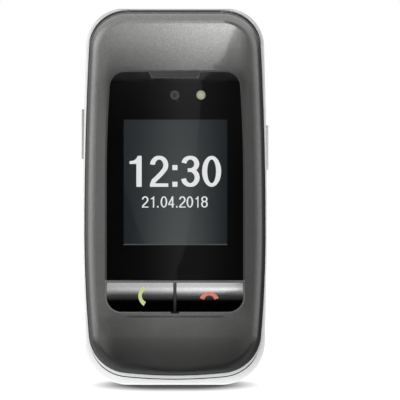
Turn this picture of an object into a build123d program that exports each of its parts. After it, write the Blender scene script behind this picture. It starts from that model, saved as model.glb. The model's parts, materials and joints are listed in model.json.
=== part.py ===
from build123d import *
import os

# Folded clamshell phone, standing upright.
# X: width. Y: depth, the lid's face at -Y and the back cover at +Y. Z: up, the foot at 0.
# Millimetres. The origin lies under the middle of the phone, on the floor.

# ---- Overall size ---------------------------------------------------------------------
LENGTH = 107.5              # foot to the top of the hinge barrel
THICKNESS = 19.0            # crown of the lid to the back cover
BASE_HALF = 26.2            # half width of the base at its waist
BASE_WAIST_Z = 50.0         # height of the widest point of the base
BASE_SIDE_RADIUS = 1400.0   # the sides of the base are long arcs
BASE_TOP_CORNER = 11.0
BASE_FOOT_CORNER = 12.4
OUTLINE_OVER = 0.06         # top of the base's outline above the round of its ears
CUT_OVER = 2.0              # how far cutting shapes reach beyond what they cut
SIDE_KEY_PROUD = 0.5        # side keys beyond the waist of the base

# ---- Lid form -------------------------------------------------------------------------
LID_SIDE_INSET = 0.34       # lid narrower than the base, each side
LID_WAIST_Z = 44.0
LID_UPPER_RADIUS = 1015.0
LID_LOWER_RADIUS = 352.0
LID_TOP_DROP = 1.4          # top edge of the lid below the top of the barrel
LID_FOOT_RISE = 2.7         # lowest point of the outer cover
INNER_FOOT_RISE = 1.85      # lowest point of the inner shell
LID_FOOT_RADIUS = 137.0     # the lower edge of the lid is a shallow arc
LID_TOP_CORNER = 11.0
LID_FOOT_CORNER = 11.5
LID_DEPTH = 7.6
COVER_DEPTH = 5.1           # outer cover, from the crown to the seam
LID_RIM = 3.4               # rounding of the outer cover's rim
INNER_RIM = 0.6
CROWN_RADIUS = 300.0        # curve of the lid across its width
CROWN_END_RADIUS = 220.0    # curve of the lid towards its top and its foot
CROWN_FLAT_LOW = 19.4       # the lid is straight between these heights
CROWN_FLAT_TOP_MARGIN = 21.5
LID_WALL = 2.0
LEDGE = 0.8                 # shelf under the glass
GLASS_SINK = 0.15           # glass below the lacquered surface
GLASS_THICKNESS = 1.25
INNER_PLATE = 1.3
TONGUE_WALL = 0.8           # locating lip of the inner shell inside the outer cover
TONGUE_HEIGHT = 1.0
LID_SCREW_LOW = (8.2, 8.6)  # in from the side and up from the inner shell's foot
LID_SCREW_HIGH = (6.6, 9.4) # in from the side and down from the lid's top

# ---- Window of the lid ----------------------------------------------------------------
WINDOW_LOW_Z = 20.95
WINDOW_TOP_MARGIN = 18.3    # window top below the top of the phone
WINDOW_HALF_LOW = 19.46
WINDOW_HALF_TOP = 18.3
WINDOW_BEND_Z = 58.0        # the sides turn inwards above this height
WINDOW_CORNER = 4.25
BEZEL = 0.45                # visible width of the silver frame
FIT = 0.05                  # fixed pieces let into one another
CROSSBAR_LOW_Z = 29.4
CROSSBAR_WIDTH = 0.5
DIVIDER_HALF = 0.35         # bar between the two keys
KEY_FIT = 0.12              # lid key to its frame
KEY_FLAT = 0.6              # height of the flat stretch along the ridge of a lid key
KEY_ROUND = 19.0            # curve of a lid key towards its upper and lower edges
NOTCH_HALF_TOP = 7.2
NOTCH_HALF_LOW = 6.1
NOTCH_DEPTH = 1.35
NOTCH_SINK = 0.3            # face of the signal bar behind the glass
LEDGE_REACH = 1.1           # how far the shelf reaches in under the glass

# ---- Lid contents ---------------------------------------------------------------------
LID_BOARD = 0.8
LID_BOARD_BEHIND = 3.4      # back of the lid's board ahead of the lid's inner face
LID_BOARD_TOP_MARGIN = 9.0
BOARD_PARTS = 1.0           # height of the connector and the chips on the lid's board
FLEX_CONNECTOR = (9.0, 3.0)
DRIVER_CHIP = (5.5, 4.0)
CONTENTS_GAP = 0.3          # chassis and board to the walls around them
CHASSIS = 0.6
CHASSIS_CLEAR = 0.1         # round what passes through the chassis
CHASSIS_LOW_MARGIN = 1.2    # lower edge of the chassis above the glass's lower edge
BOSS_CLEAR = 0.2
TAB_IN = 8.5                # folded tabs of the chassis, in from the side
TAB_SIZE = (0.6, 4.0)
TAB_MARGINS = (1.0, 16.0)   # up from the chassis's lower edge, down from the lid's top
OPTICAL_GAP = 0.1           # display, camera and flash behind the glass
OUTER_DISPLAY_WIDTH = 32.4
OUTER_DISPLAY_HEIGHT = 40.0
OUTER_DISPLAY_X = 0.15
OUTER_DISPLAY_TOP_MARGIN = 30.0
CAMERA_DROP = 24.9          # camera axis below the top of the phone
CAMERA_BODY = 7.0
CAMERA_CORNER = 0.6
CAMERA_BARREL_RADIUS = 2.4
FLASH_X = 7.4
FLASH_RADIUS = 1.5
INNER_DISPLAY_WIDTH = 43.0
INNER_DISPLAY_HEIGHT = 60.0
INNER_DISPLAY_LOW_Z = 26.0
DISPLAY_CORNER = 0.5
LENS_WIDTH = 44.6
LENS_HEIGHT = 66.0
LENS_THICKNESS = 0.8
LENS_SINK = 0.05
LENS_CORNER = 2.4
LENS_SHELF = 3.0            # width of the lens's bonded border at its sides
LENS_END_SHELF = 6.0        # and at its two ends
EARPIECE_Z = 13.0
EARPIECE_LENGTH = 14.0
EARPIECE_WIDTH = 5.4
EARPIECE_DEPTH = 2.6
EARPIECE_SLOT = (8.0, 0.8)
EARPIECE_SLOT_PITCH = 1.6
KEY_TRAVEL = 0.3            # call and end keys
DOME_HEIGHT = 0.3
DOME_RADIUS = 2.1
KEY_EAR = (9.6, 3.2)        # retaining flanges of a lid key: at its side, and at its foot
KEY_EAR_IN = (4.0, 2.4)     # centre of the side flange in from the window and the crossbar
KEY_TAB = (8.0, 2.0)
KEY_POST_RADIUS = 1.2
BUMPER_RADIUS = 2.6
BUMPER_DEPTH = 0.5
BUMPER_PROUD = 0.35
BUMPER_EDGE = 0.3

# ---- Hinge ----------------------------------------------------------------------------
BARREL_RADIUS = 4.6
BARREL_HALF = 13.17
EAR_GAP = 0.25              # barrel to ear, each side
BARREL_BORE = 3.4
BORE_WALL_HALF = 1.0        # half thickness of the wall between the two bores
BARREL_GAP = 0.35           # barrel to the base around it
WEB_HALF = 3.2              # half height of the web that carries the barrel
CAN_WALL = 0.65
CAN_END = 0.7
SHAFT_RADIUS = 1.5
SHAFT_SQUARE = 2.3
SHAFT_RUN = 0.07            # running clearance of the shaft and of the hollow pin
SHAFT_IN_EAR = 5.0
SHAFT_HEAD = 0.8
DISC_COUNT = 8
DISC_THICKNESS = 0.7
DISC_PITCH = 1.15
DISC_END_GAP = 0.25         # first disc to the end of the cartridge
PIN_RADIUS = 2.0
PIN_BORE = 1.2
PIN_IN_EAR = 2.4
PIN_FIT = 0.01
BUSH_LENGTH = 3.2
FLEX = 0.16                 # thickness of the flex
FLEX_LEFT = 3.2             # the flex runs between these places across the phone
FLEX_RIGHT = 8.8
FLEX_CLEAR = 0.3
FLEX_SLOT = 1.4
FLEX_SLOT_DEPTH = 5.0
FLEX_OVERLAP = 1.5          # flex on its connector
FLEX_BEND = 0.5
FLEX_ROLL_START = 2.0
FLEX_ROLL_STEP = 0.2
FLEX_HALF_TURNS = 5
STRIP_RISE = 1.25           # height of the trim strip behind the barrel
STRIP_DEPTH = 0.5
STRIP_END = 0.2             # strip let into each ear
TRIM_INNER_X = 9.25
TRIM_GAP = 0.1
CHANNEL_WIDTH = 3.6         # channel for the flexible tail in the right ear
CHANNEL_HEIGHT = 10.5
CHANNEL_DROP = 3.0          # its middle below the hinge axis

# ---- Base -----------------------------------------------------------------------------
FOLD_GAP = 0.4
FRONT_PLATE = 1.6
BASE_WALL = 1.6
DECK_EDGE = 0.5             # rounding of the front edge of the base
BACK_RIM = 2.4              # rounding of the back cover's rim
EAR_RIM = 1.2
CHASSIS_BAND = 1.5          # visible band of the rear chassis
BACK_FLAT_TOP_MARGIN = 39.5 # the back is straight below this margin and curves in above it
CHASSIS_PLATE = 0.9
BOARD = 1.0
BOARD_EDGE_GAP = 1.6        # board to the flanges of the side keys
BOARD_TOP_GAP = 0.5
SEAM_GAP = 0.05
COVER_TOP_MARGIN = 8.9      # top edge of the back cover below the top of the phone
COVER_SKIN = 1.5
COVER_LIP = 0.7
COVER_LIP_ROOT = 0.4        # how far the lip is let into the cover
COVER_LIP_TOP_GAP = 2.0
COVER_TRAVEL_CLEAR = 0.1
BASE_SCREW_LOW = (9.2, 7.4) # in from the side and up from the foot
BASE_SCREW_HIGH = (4.6, 7.6)  # in from the wall there and down from the cover's top edge

# ---- Keypad ---------------------------------------------------------------------------
KEY_TOP_SINK = 0.05         # key tops below the deck
KEY_GAP = 0.2               # key to the front plate
KEY_EDGE = 0.3
KEY_PLAY = 0.1              # key flanges to the front plate
KEY_FLANGE = 0.8
KEY_FLANGE_THICKNESS = 0.3
KEYPAD_TRAVEL = 0.2
DOME_PLAY = 0.03            # pressed key to its dome
DOME_SHEET = 0.12
DOME_SHEET_CORNER = 3.0
KEYPAD_DOME = 0.1
KEYPAD_DOME_RADIUS = 2.2
DIGIT_WIDTH = 12.6
DIGIT_HEIGHT = 8.8
DIGIT_GAP_X = 1.8
DIGIT_GAP_Z = 2.0
DIGIT_LOW_Z = 15.0
DIGIT_CORNER = 2.4
SOFT_WIDTH = 11.4
SOFT_HEIGHT = 9.4
SOFT_GAP_X = 2.6
SOFT_GAP_Z = 3.9
NAV_WIDTH = 13.4
NAV_HEIGHT = 20.8
NAV_CORNER = 5.6

# ---- Base contents --------------------------------------------------------------------
BATTERY_WIDTH = 37.0
BATTERY_HEIGHT = 54.0
BATTERY_LOW_Z = 12.0
BATTERY_CORNER = 1.2
BATTERY_CLEAR = 0.1
CONTACT_COUNT = 3
CONTACT_PITCH = 2.5
CONTACT_WIDTH = 1.0
CONNECTOR_WIDTH = 10.0
CONNECTOR_HEIGHT = 3.0
CONNECTOR_RISE = 1.8        # middle of the connector above the battery
CONNECTOR_DEPTH = 1.6       # how far it stands above the plate
CONNECTOR_CLEAR = 0.2
SIM_X = -8.5
SIM_Z = 49.0
SIM_WIDTH = 15.0
SIM_HEIGHT = 13.0
SIM_CLEAR = 0.3
SIM_WALL = 0.5
SIM_SLOT = 0.8              # thickness of the card's space
SHIELD_SKIN = 0.2
SHIELD_CORNER = 0.8
SHIELDS = (                 # centre across and up, width, height
    (0.0, 24.0, 34.0, 28.0),
    (9.6, 52.4, 17.0, 24.0),
    (-12.6, 76.0, 15.0, 13.0),
)
MIC_X = 9.0
MIC_Z = 6.9
MIC_RADIUS = 1.6
MIC_HOLE = 0.5
SOS_DROP = 26.4             # SOS button axis below the top of the phone
SOS_RADIUS = 7.0
SOS_CLEAR = 0.18
SOS_LIP = 0.6               # retaining lip around the cap
SOS_LIP_THICKNESS = 0.4
SOS_LIP_STEP = 0.95         # depth of the step for the lip in the cover
SOS_LIP_PLAY = 0.15
SOS_STEM_RADIUS = 1.8
SOS_STEM_CLEAR = 0.15
SOS_COLLAR = 1.2
SOS_COLLAR_THICKNESS = 0.5
SOS_TRAVEL = 0.4
SOS_DISH_RADIUS = 26.0
SOS_RIM = 0.5               # flat rim around the finger dish
SOS_SINK = 0.25
SWITCH_HEIGHT = 0.5
SWITCH_SIZE = 4.0
SPEAKER_GAP = 3.0           # SOS cap to the grille
SPEAKER_DROP = 26.5
SPEAKER_RADIUS = 5.6
GASKET_WIDTH = 0.8
GASKET_THICKNESS = 0.3
GRILLE_RADIUS = 3.8
GRILLE_SLOT = 1.1
GRILLE_PITCH = 2.0
GRILLE_SLOTS = 4
RECESS_DEPTH = 0.3
RECESS_RIM = 0.7            # recess beyond the button and the grille
RECESS_NECK = 2.5
MOTOR_RADIUS = 4.0
MOTOR_DROP = 1.0            # motor below the loudspeaker
ANTENNA_WIDTH = 36.0
ANTENNA_GAP = 0.8           # antenna carrier to the loudspeaker
ANTENNA_TOP_GAP = 0.6
ANTENNA_WALL = 1.2
BAY_PLAY = 0.1              # contents of the upper bay to the cover
SIDE_KEY_DEPTH = 2.6        # size of a side key along Y
SIDE_KEY_FORWARD = 1.44     # its middle ahead of the hinge axis
SIDE_KEY_FIT = 0.12
SIDE_KEY_CORNER = 0.9
SIDE_KEY_FLANGE = 0.6
SIDE_KEY_FLANGE_REACH = 0.7
SIDE_KEY_TRAVEL = 0.4
SIDE_SWITCH = (2.2, 3.2)
SIDE_SWITCH_PITCH = 7.2
VOLUME_KEY_LENGTH = 14.2
VOLUME_KEY_DROP = 35.9      # centre of the volume key below the top of the phone
SIDE_KEY_LENGTH = 12.8
SIDE_KEY_DROP = 39.8
USB_WIDTH = 7.6
USB_HEIGHT = 2.5
USB_DEPTH = 5.6
USB_WALL = 0.3
USB_CORNER = 0.6
USB_SINK = 0.3              # mouth of the socket inside the foot
USB_TONGUE = (5.0, 0.6)
SCREW_RADIUS = 0.8
SCREW_LENGTH = 3.4
SCREW_HOLE_CLEAR = 0.1
SCREW_HEAD_RADIUS = 1.5
SCREW_HEAD = 0.7
SCREW_SOCKET_RADIUS = 0.7
SCREW_SOCKET_DEPTH = 0.4
LID_SCREW_HEAD = 0.35
BOSS_RADIUS = 1.9

# ---- Derived places -------------------------------------------------------------------
lid_front = -THICKNESS / 2
lid_back = lid_front + LID_DEPTH
lid_seam = lid_front + COVER_DEPTH
deck = lid_back + FOLD_GAP
base_back = THICKNESS / 2
hinge_y = deck + BARREL_RADIUS
hinge_z = LENGTH - BARREL_RADIUS
ear_x = BARREL_HALF + EAR_GAP

lid_half = BASE_HALF - LID_SIDE_INSET
lid_top = LENGTH - LID_TOP_DROP
glass_front = lid_front + GLASS_SINK
glass_back = glass_front + GLASS_THICKNESS
lid_ceiling = glass_back + LEDGE
chassis_front = lid_ceiling + FIT
chassis_back = chassis_front + CHASSIS
plate_inside = lid_back - INNER_PLATE
inner_display_back = plate_inside - FIT
lid_board_back = lid_back - LID_BOARD_BEHIND
lid_board_front = lid_board_back - LID_BOARD
lid_contents_inset = LID_WALL + FIT + TONGUE_WALL + CONTENTS_GAP
lid_board_top = lid_top - LID_BOARD_TOP_MARGIN
chassis_low = CROSSBAR_LOW_Z + CROSSBAR_WIDTH + FIT + CHASSIS_LOW_MARGIN
key_middle = (WINDOW_HALF_LOW + DIVIDER_HALF) / 2
key_centre_z = (WINDOW_LOW_Z + CROSSBAR_LOW_Z) / 2

window_top = LENGTH - WINDOW_TOP_MARGIN
glass_low = CROSSBAR_LOW_Z + CROSSBAR_WIDTH + FIT
camera_z = LENGTH - CAMERA_DROP
display_top = LENGTH - OUTER_DISPLAY_TOP_MARGIN
display_low = display_top - OUTER_DISPLAY_HEIGHT

plate_back = deck + FRONT_PLATE
flange_front = plate_back + KEY_PLAY
flange_back = flange_front + KEY_FLANGE_THICKNESS
sheet_front = flange_back + KEYPAD_TRAVEL + DOME_PLAY + KEYPAD_DOME
board_front = sheet_front + DOME_SHEET
board_back = board_front + BOARD
shield_height = hinge_y - SEAM_GAP - board_back
rear_plate_front = hinge_y + SEAM_GAP
rear_plate_back = rear_plate_front + CHASSIS_PLATE
cover_seam = hinge_y + CHASSIS_BAND
cover_top = LENGTH - COVER_TOP_MARGIN
cover_ceiling = base_back - COVER_SKIN
upper_bay_low = LENGTH - BACK_FLAT_TOP_MARGIN
bay_top = hinge_z - BARREL_RADIUS - BARREL_GAP - BASE_WALL
sos_z = LENGTH - SOS_DROP
speaker_x = SOS_RADIUS + SPEAKER_GAP + GRILLE_RADIUS
speaker_z = LENGTH - SPEAKER_DROP
side_reach = BASE_HALF + SIDE_KEY_PROUD
side_key_y = hinge_y - SIDE_KEY_FORWARD
digit_pitch_x = DIGIT_WIDTH + DIGIT_GAP_X
digit_pitch_z = DIGIT_HEIGHT + DIGIT_GAP_Z
soft_x = (NAV_WIDTH + SOFT_WIDTH) / 2 + SOFT_GAP_X
connector_z = BATTERY_LOW_Z + BATTERY_HEIGHT + CONNECTOR_RISE
strip_low = cover_top + SEAM_GAP
strip_top = strip_low + STRIP_RISE
strip_middle = (strip_low + strip_top) / 2
pocket_radius = BARREL_RADIUS + BARREL_GAP
strip_front = hinge_y + (pocket_radius**2 - (hinge_z - strip_top) ** 2) ** 0.5
board_inset = BASE_WALL + SIDE_KEY_FLANGE + BOARD_EDGE_GAP
usb_front = board_back + FIT
usb_back = usb_front + USB_HEIGHT
seat = rear_plate_back + FIT
can_radius = BARREL_BORE - FIT
can_left = -BARREL_HALF + FIT
can_right = -BORE_WALL_HALF - FIT
disc_left = can_left + CAN_END + DISC_END_GAP
bush_left = BARREL_HALF - FIT - BUSH_LENGTH


def at_depth(y):
    """Sketch plane facing the lid side, X to the right and Z up."""
    return Plane.XZ.offset(-y)


def across(x):
    """Sketch plane across the phone, Y to the right and Z up."""
    return Plane.YZ.offset(x)


def side_half(half, radius, rise):
    """Half width of a long side arc at a distance above or below its waist."""
    return half - radius + (radius**2 - rise**2) ** 0.5


def barrel_form(half, waist, top, low, upper, lower, corners, foot_radius=None):
    """Outline with two long side arcs, a straight top, and a straight or arched foot."""
    top_half = side_half(half, upper, top - waist)
    low_half = side_half(half, lower, waist - low)
    with BuildSketch() as form:
        with BuildLine():
            Line((-top_half, top), (top_half, top))
            RadiusArc((top_half, top), (half, waist), upper)
            RadiusArc((half, waist), (low_half, low), lower)
            if foot_radius:
                rise = low_half**2 / (2 * foot_radius)
                ThreePointArc((low_half, low), (0, low - rise), (-low_half, low))
            else:
                Line((low_half, low), (-low_half, low))
            RadiusArc((-low_half, low), (-half, waist), lower)
            RadiusArc((-half, waist), (-top_half, top), upper)
        make_face()
        fillet(form.vertices().group_by(Axis.Y)[-1], corners[0])
        fillet(form.vertices().group_by(Axis.Y)[0], corners[1])
    return form.sketch


def base_outline(inset=0.0):
    """Its straight top lies just above the round of the ears, so the two never touch."""
    return barrel_form(
        BASE_HALF - inset,
        BASE_WAIST_Z,
        LENGTH + OUTLINE_OVER - inset,
        inset,
        BASE_SIDE_RADIUS - inset,
        BASE_SIDE_RADIUS - inset,
        (BASE_TOP_CORNER - inset, BASE_FOOT_CORNER - inset),
    )


def lid_outline(foot_rise, inset=0.0):
    corner_half = side_half(lid_half, LID_LOWER_RADIUS, LID_WAIST_Z - foot_rise)
    corner_low = foot_rise + corner_half**2 / (2 * LID_FOOT_RADIUS) + inset
    return barrel_form(
        lid_half - inset,
        LID_WAIST_Z,
        lid_top - inset,
        corner_low,
        LID_UPPER_RADIUS - inset,
        LID_LOWER_RADIUS - inset,
        (LID_TOP_CORNER - inset, LID_FOOT_CORNER - inset),
        LID_FOOT_RADIUS - inset,
    )


def window_outline(grow=0.0):
    """Rounded window, its sides drawn in above the bend."""
    low = WINDOW_LOW_Z - grow
    top = window_top + grow
    half = WINDOW_HALF_LOW + grow
    with BuildSketch() as form:
        with BuildLine():
            Line((-half, low), (half, low))
            Line((half, low), (half, WINDOW_BEND_Z))
            TangentArc((half, WINDOW_BEND_Z), (WINDOW_HALF_TOP + grow, top), tangent=(0, 1))
            Line((WINDOW_HALF_TOP + grow, top), (-WINDOW_HALF_TOP - grow, top))
            TangentArc((-half, WINDOW_BEND_Z), (-WINDOW_HALF_TOP - grow, top), tangent=(0, 1))
            Line((-half, WINDOW_BEND_Z), (-half, low))
        make_face()
        fillet(form.vertices().group_by(Axis.Y)[-1], WINDOW_CORNER + grow)
        fillet(form.vertices().group_by(Axis.Y)[0], WINDOW_CORNER + grow)
    return form.sketch


def notch_outline(grow=0.0):
    """Trapezium let into the top of the window."""
    low = window_top - NOTCH_DEPTH - grow
    top = window_top + grow
    with BuildSketch() as form:
        Polygon(
            (-NOTCH_HALF_LOW - grow, low),
            (NOTCH_HALF_LOW + grow, low),
            (NOTCH_HALF_TOP + grow, top),
            (-NOTCH_HALF_TOP - grow, top),
            align=None,
        )
    return form.sketch


def key_outline(side, shrink=0.0):
    """Half of the window below the crossbar, left (-1) or right (+1)."""
    inner = DIVIDER_HALF + shrink
    outer = WINDOW_HALF_LOW - shrink
    low = WINDOW_LOW_Z + shrink
    top = CROSSBAR_LOW_Z - shrink
    with BuildSketch() as form:
        with Locations((side * (inner + outer) / 2, (low + top) / 2)):
            Rectangle(outer - inner, top - low)
        corner = form.vertices().group_by(Axis.Y)[0].sort_by(Axis.X)[-1 if side > 0 else 0]
        fillet(corner, WINDOW_CORNER - shrink)
    return form.sketch


def crown_cutter(front, low, high, end_radius, foot, top):
    """All in front of a face crowned across its width, straight up from low to high, and
    curved back beyond them to its foot and its top."""
    reach = BASE_HALF + 3 * CUT_OVER
    sag = reach**2 / (2 * CROWN_RADIUS)
    upper_back = front + end_radius - (end_radius**2 - (top - high) ** 2) ** 0.5
    lower_back = front + end_radius - (end_radius**2 - (low - foot) ** 2) ** 0.5
    with BuildPart() as cutter:
        with BuildLine(Plane.YZ):
            middle = Line((front, low), (front, high))
            upper = TangentArc((front, high), (upper_back, top), tangent=(0, 1))
            lower = TangentArc((front, low), (lower_back, foot), tangent=(0, -1))
        for path, height in ((middle, low), (upper, high), (lower, low)):
            with BuildSketch(Plane.XY.offset(height)):
                with BuildLine():
                    ThreePointArc((-reach, front + sag), (0, front), (reach, front + sag))
                    Line((reach, front + sag), (reach, front - LID_DEPTH))
                    Line((reach, front - LID_DEPTH), (-reach, front - LID_DEPTH))
                    Line((-reach, front - LID_DEPTH), (-reach, front + sag))
                make_face()
            sweep(path=path)
    return cutter.part


def lid_crown_cutter(front):
    flat_top = LENGTH - CROWN_FLAT_TOP_MARGIN
    return crown_cutter(
        front, CROWN_FLAT_LOW, flat_top, CROWN_END_RADIUS, -CUT_OVER, LENGTH + CUT_OVER
    )


def back_at(z):
    """Depth of the back cover's outer face at a height in its curved upper part."""
    rise = hinge_z - upper_bay_low
    fall = base_back - hinge_y - BARREL_RADIUS
    radius = (rise**2 + fall**2) / (2 * fall)
    return base_back - radius + (radius**2 - max(z - upper_bay_low, 0) ** 2) ** 0.5


def base_half_at(z):
    return side_half(BASE_HALF, BASE_SIDE_RADIUS, z - BASE_WAIST_Z)


def key_seat(z, length):
    """Where the flange of a side key rests: the wall's inner face at its narrowest there."""
    reach = length / 2 + SIDE_KEY_FLANGE_REACH
    return min(base_half_at(z - reach), base_half_at(z + reach)) - BASE_WALL - SIDE_KEY_FIT


def rim(part, toward):
    """Edges where the upright walls meet the skin that faces -Y (-1) or +Y (+1)."""
    skin = part.faces().filter_by(lambda face: face.normal_at().Y * toward > 0.5)
    walls = part.faces().filter_by(lambda face: abs(face.normal_at().Y) < 0.05)
    return skin.edges() & walls.edges()


def ear_edges(part):
    """Rising edges between the rounded back of the ears and the outline's corners."""
    return part.edges().filter_by(
        lambda edge: edge.center().Y > hinge_y + 0.1
        and abs(edge.center().X) > ear_x + 0.1
        and edge.bounding_box().min.Z > cover_top
        and edge.bounding_box().size.Z > 0.5
    )


def save(builder, name):
    builder.part.label = name
    export_step(builder.part, f"parts/{name}.step")


os.makedirs("parts", exist_ok=True)

lid_crown = lid_crown_cutter(lid_front)
glass_crown = lid_crown_cutter(glass_front)

bumper_points = [
    (-lid_half + LID_SCREW_LOW[0], INNER_FOOT_RISE + LID_SCREW_LOW[1]),
    (lid_half - LID_SCREW_LOW[0], INNER_FOOT_RISE + LID_SCREW_LOW[1]),
]
lid_screw_points = bumper_points + [
    (-lid_half + LID_SCREW_HIGH[0], lid_top - LID_SCREW_HIGH[1]),
    (lid_half - LID_SCREW_HIGH[0], lid_top - LID_SCREW_HIGH[1]),
]
high_screw_z = cover_top - BASE_SCREW_HIGH[1]
high_screw_x = base_half_at(high_screw_z) - BASE_SCREW_HIGH[0]
base_screw_points = [
    (-BASE_HALF + BASE_SCREW_LOW[0], BASE_SCREW_LOW[1]),
    (BASE_HALF - BASE_SCREW_LOW[0], BASE_SCREW_LOW[1]),
    (-high_screw_x, high_screw_z),
    (high_screw_x, high_screw_z),
]
upper_ceiling = back_at(bay_top) - COVER_SKIN
lip_back = upper_ceiling + SOS_LIP_STEP - SOS_LIP_PLAY

# ---- Lid: outer cover -----------------------------------------------------------------
with BuildPart() as lid_outer_cover:
    with BuildSketch(at_depth(lid_seam)):
        add(lid_outline(LID_FOOT_RISE))
    extrude(amount=COVER_DEPTH)
    add(lid_crown, mode=Mode.SUBTRACT)
    fillet(rim(lid_outer_cover.part, -1), LID_RIM)
    with BuildSketch(at_depth(lid_seam)):
        add(lid_outline(LID_FOOT_RISE, LID_WALL))
    extrude(amount=lid_seam - lid_ceiling, mode=Mode.SUBTRACT)
    # seat of the glass and its frame, and the opening behind them
    with BuildSketch(at_depth(glass_back)):
        add(window_outline(BEZEL + FIT))
        add(notch_outline(FIT))
    extrude(amount=glass_back - lid_front, mode=Mode.SUBTRACT)
    with BuildSketch(at_depth(lid_ceiling)):
        add(window_outline(-LEDGE_REACH))
        with Locations((0, WINDOW_LOW_Z)):
            Rectangle(2 * WINDOW_HALF_LOW, 2 * (CROSSBAR_LOW_Z - WINDOW_LOW_Z), mode=Mode.SUBTRACT)
        add(key_outline(-1))
        add(key_outline(1))
    extrude(amount=LEDGE, mode=Mode.SUBTRACT)
    # screw bosses
    with BuildSketch(at_depth(lid_ceiling)):
        with Locations(*lid_screw_points):
            Circle(BOSS_RADIUS)
    extrude(amount=-(plate_inside - lid_ceiling - FIT))
    with BuildSketch(at_depth(plate_inside)):
        with Locations(*lid_screw_points):
            Circle(SCREW_RADIUS)
    extrude(amount=plate_inside - lid_ceiling, mode=Mode.SUBTRACT)
save(lid_outer_cover, "lid_outer_cover")

# ---- Lid: silver frame of the window --------------------------------------------------
with BuildPart() as window_bezel:
    with BuildSketch(at_depth(glass_back)):
        add(window_outline(BEZEL))
        with BuildSketch(mode=Mode.PRIVATE) as clear:
            add(window_outline())
            with Locations((0, CROSSBAR_LOW_Z + CROSSBAR_WIDTH / 2)):
                Rectangle(2 * WINDOW_HALF_LOW, CROSSBAR_WIDTH, mode=Mode.SUBTRACT)
            with Locations((0, key_centre_z)):
                Rectangle(2 * DIVIDER_HALF, CROSSBAR_LOW_Z - WINDOW_LOW_Z, mode=Mode.SUBTRACT)
            add(notch_outline(BEZEL), mode=Mode.SUBTRACT)
        add(clear.sketch, mode=Mode.SUBTRACT)
        add(notch_outline(FIT), mode=Mode.SUBTRACT)
    extrude(amount=glass_back - lid_front)
    add(glass_crown, mode=Mode.SUBTRACT)
save(window_bezel, "window_bezel")

# ---- Lid: signal bar in the notch -----------------------------------------------------
with BuildPart() as signal_bar:
    with BuildSketch(at_depth(glass_back)):
        add(notch_outline())
    extrude(amount=GLASS_THICKNESS - NOTCH_SINK)
save(signal_bar, "signal_bar")

# ---- Lid: window glass ----------------------------------------------------------------
with BuildPart() as window_glass:
    with BuildSketch(at_depth(glass_back)):
        add(window_outline(-FIT))
        with Locations((0, WINDOW_LOW_Z)):
            Rectangle(2 * WINDOW_HALF_LOW, 2 * (glass_low - WINDOW_LOW_Z), mode=Mode.SUBTRACT)
        add(notch_outline(BEZEL + FIT), mode=Mode.SUBTRACT)
    extrude(amount=GLASS_THICKNESS + CUT_OVER)
    add(glass_crown, mode=Mode.SUBTRACT)
save(window_glass, "window_glass")

# ---- Lid: call and end keys -----------------------------------------------------------
key_crown = crown_cutter(
    glass_front,
    key_centre_z - KEY_FLAT / 2,
    key_centre_z + KEY_FLAT / 2,
    KEY_ROUND,
    WINDOW_LOW_Z - CUT_OVER,
    CROSSBAR_LOW_Z + CUT_OVER,
)
for side, name in ((-1, "call_key"), (1, "end_key")):
    with BuildPart() as lid_key:
        with BuildSketch(at_depth(chassis_front)):
            add(key_outline(side, KEY_FIT))
        extrude(amount=chassis_front - lid_front)
        add(key_crown, mode=Mode.SUBTRACT)
        # retaining flange behind the cover, and the post that meets the dome
        with BuildSketch(at_depth(chassis_front)):
            add(key_outline(side, KEY_FIT))
            with Locations((side * (WINDOW_HALF_LOW - KEY_EAR_IN[0]), CROSSBAR_LOW_Z - KEY_EAR_IN[1])):
                Rectangle(*KEY_EAR)
            with Locations((side * key_middle, WINDOW_LOW_Z)):
                Rectangle(*KEY_TAB)
        extrude(amount=-KEY_FLANGE_THICKNESS)
        with BuildSketch(at_depth(chassis_front + KEY_FLANGE_THICKNESS)):
            with Locations((side * key_middle, key_centre_z)):
                Circle(KEY_POST_RADIUS)
        post_back = lid_board_front - DOME_HEIGHT - KEY_TRAVEL - FIT
        extrude(amount=-(post_back - chassis_front - KEY_FLANGE_THICKNESS))
    save(lid_key, name)

# ---- Lid: display chassis, a pressed metal plate behind the glass ---------------------
with BuildPart() as display_chassis:
    with BuildSketch(at_depth(chassis_front)):
        add(lid_outline(LID_FOOT_RISE, lid_contents_inset))
        with Locations((0, 0)):
            Rectangle(2 * lid_half, 2 * chassis_low, mode=Mode.SUBTRACT)
        with Locations(*lid_screw_points):
            Circle(BOSS_RADIUS + BOSS_CLEAR, mode=Mode.SUBTRACT)
        with Locations((OUTER_DISPLAY_X, (display_top + display_low) / 2)):
            Rectangle(
                OUTER_DISPLAY_WIDTH + 2 * CHASSIS_CLEAR,
                OUTER_DISPLAY_HEIGHT + 2 * CHASSIS_CLEAR,
                mode=Mode.SUBTRACT,
            )
        with Locations((0, camera_z)):
            camera_hole = CAMERA_BODY + 2 * CHASSIS_CLEAR
            Rectangle(camera_hole, camera_hole, mode=Mode.SUBTRACT)
        with Locations((FLASH_X, camera_z)):
            Circle(FLASH_RADIUS + CHASSIS_CLEAR, mode=Mode.SUBTRACT)
    extrude(amount=-CHASSIS)
    # folded tabs that stand on the board
    with BuildSketch(at_depth(chassis_back)):
        for z in (chassis_low + TAB_MARGINS[0], lid_top - TAB_MARGINS[1]):
            with Locations((-lid_half + TAB_IN, z), (lid_half - TAB_IN, z)):
                Rectangle(*TAB_SIZE)
    extrude(amount=-(lid_board_front - chassis_back))
save(display_chassis, "display_chassis")

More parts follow.
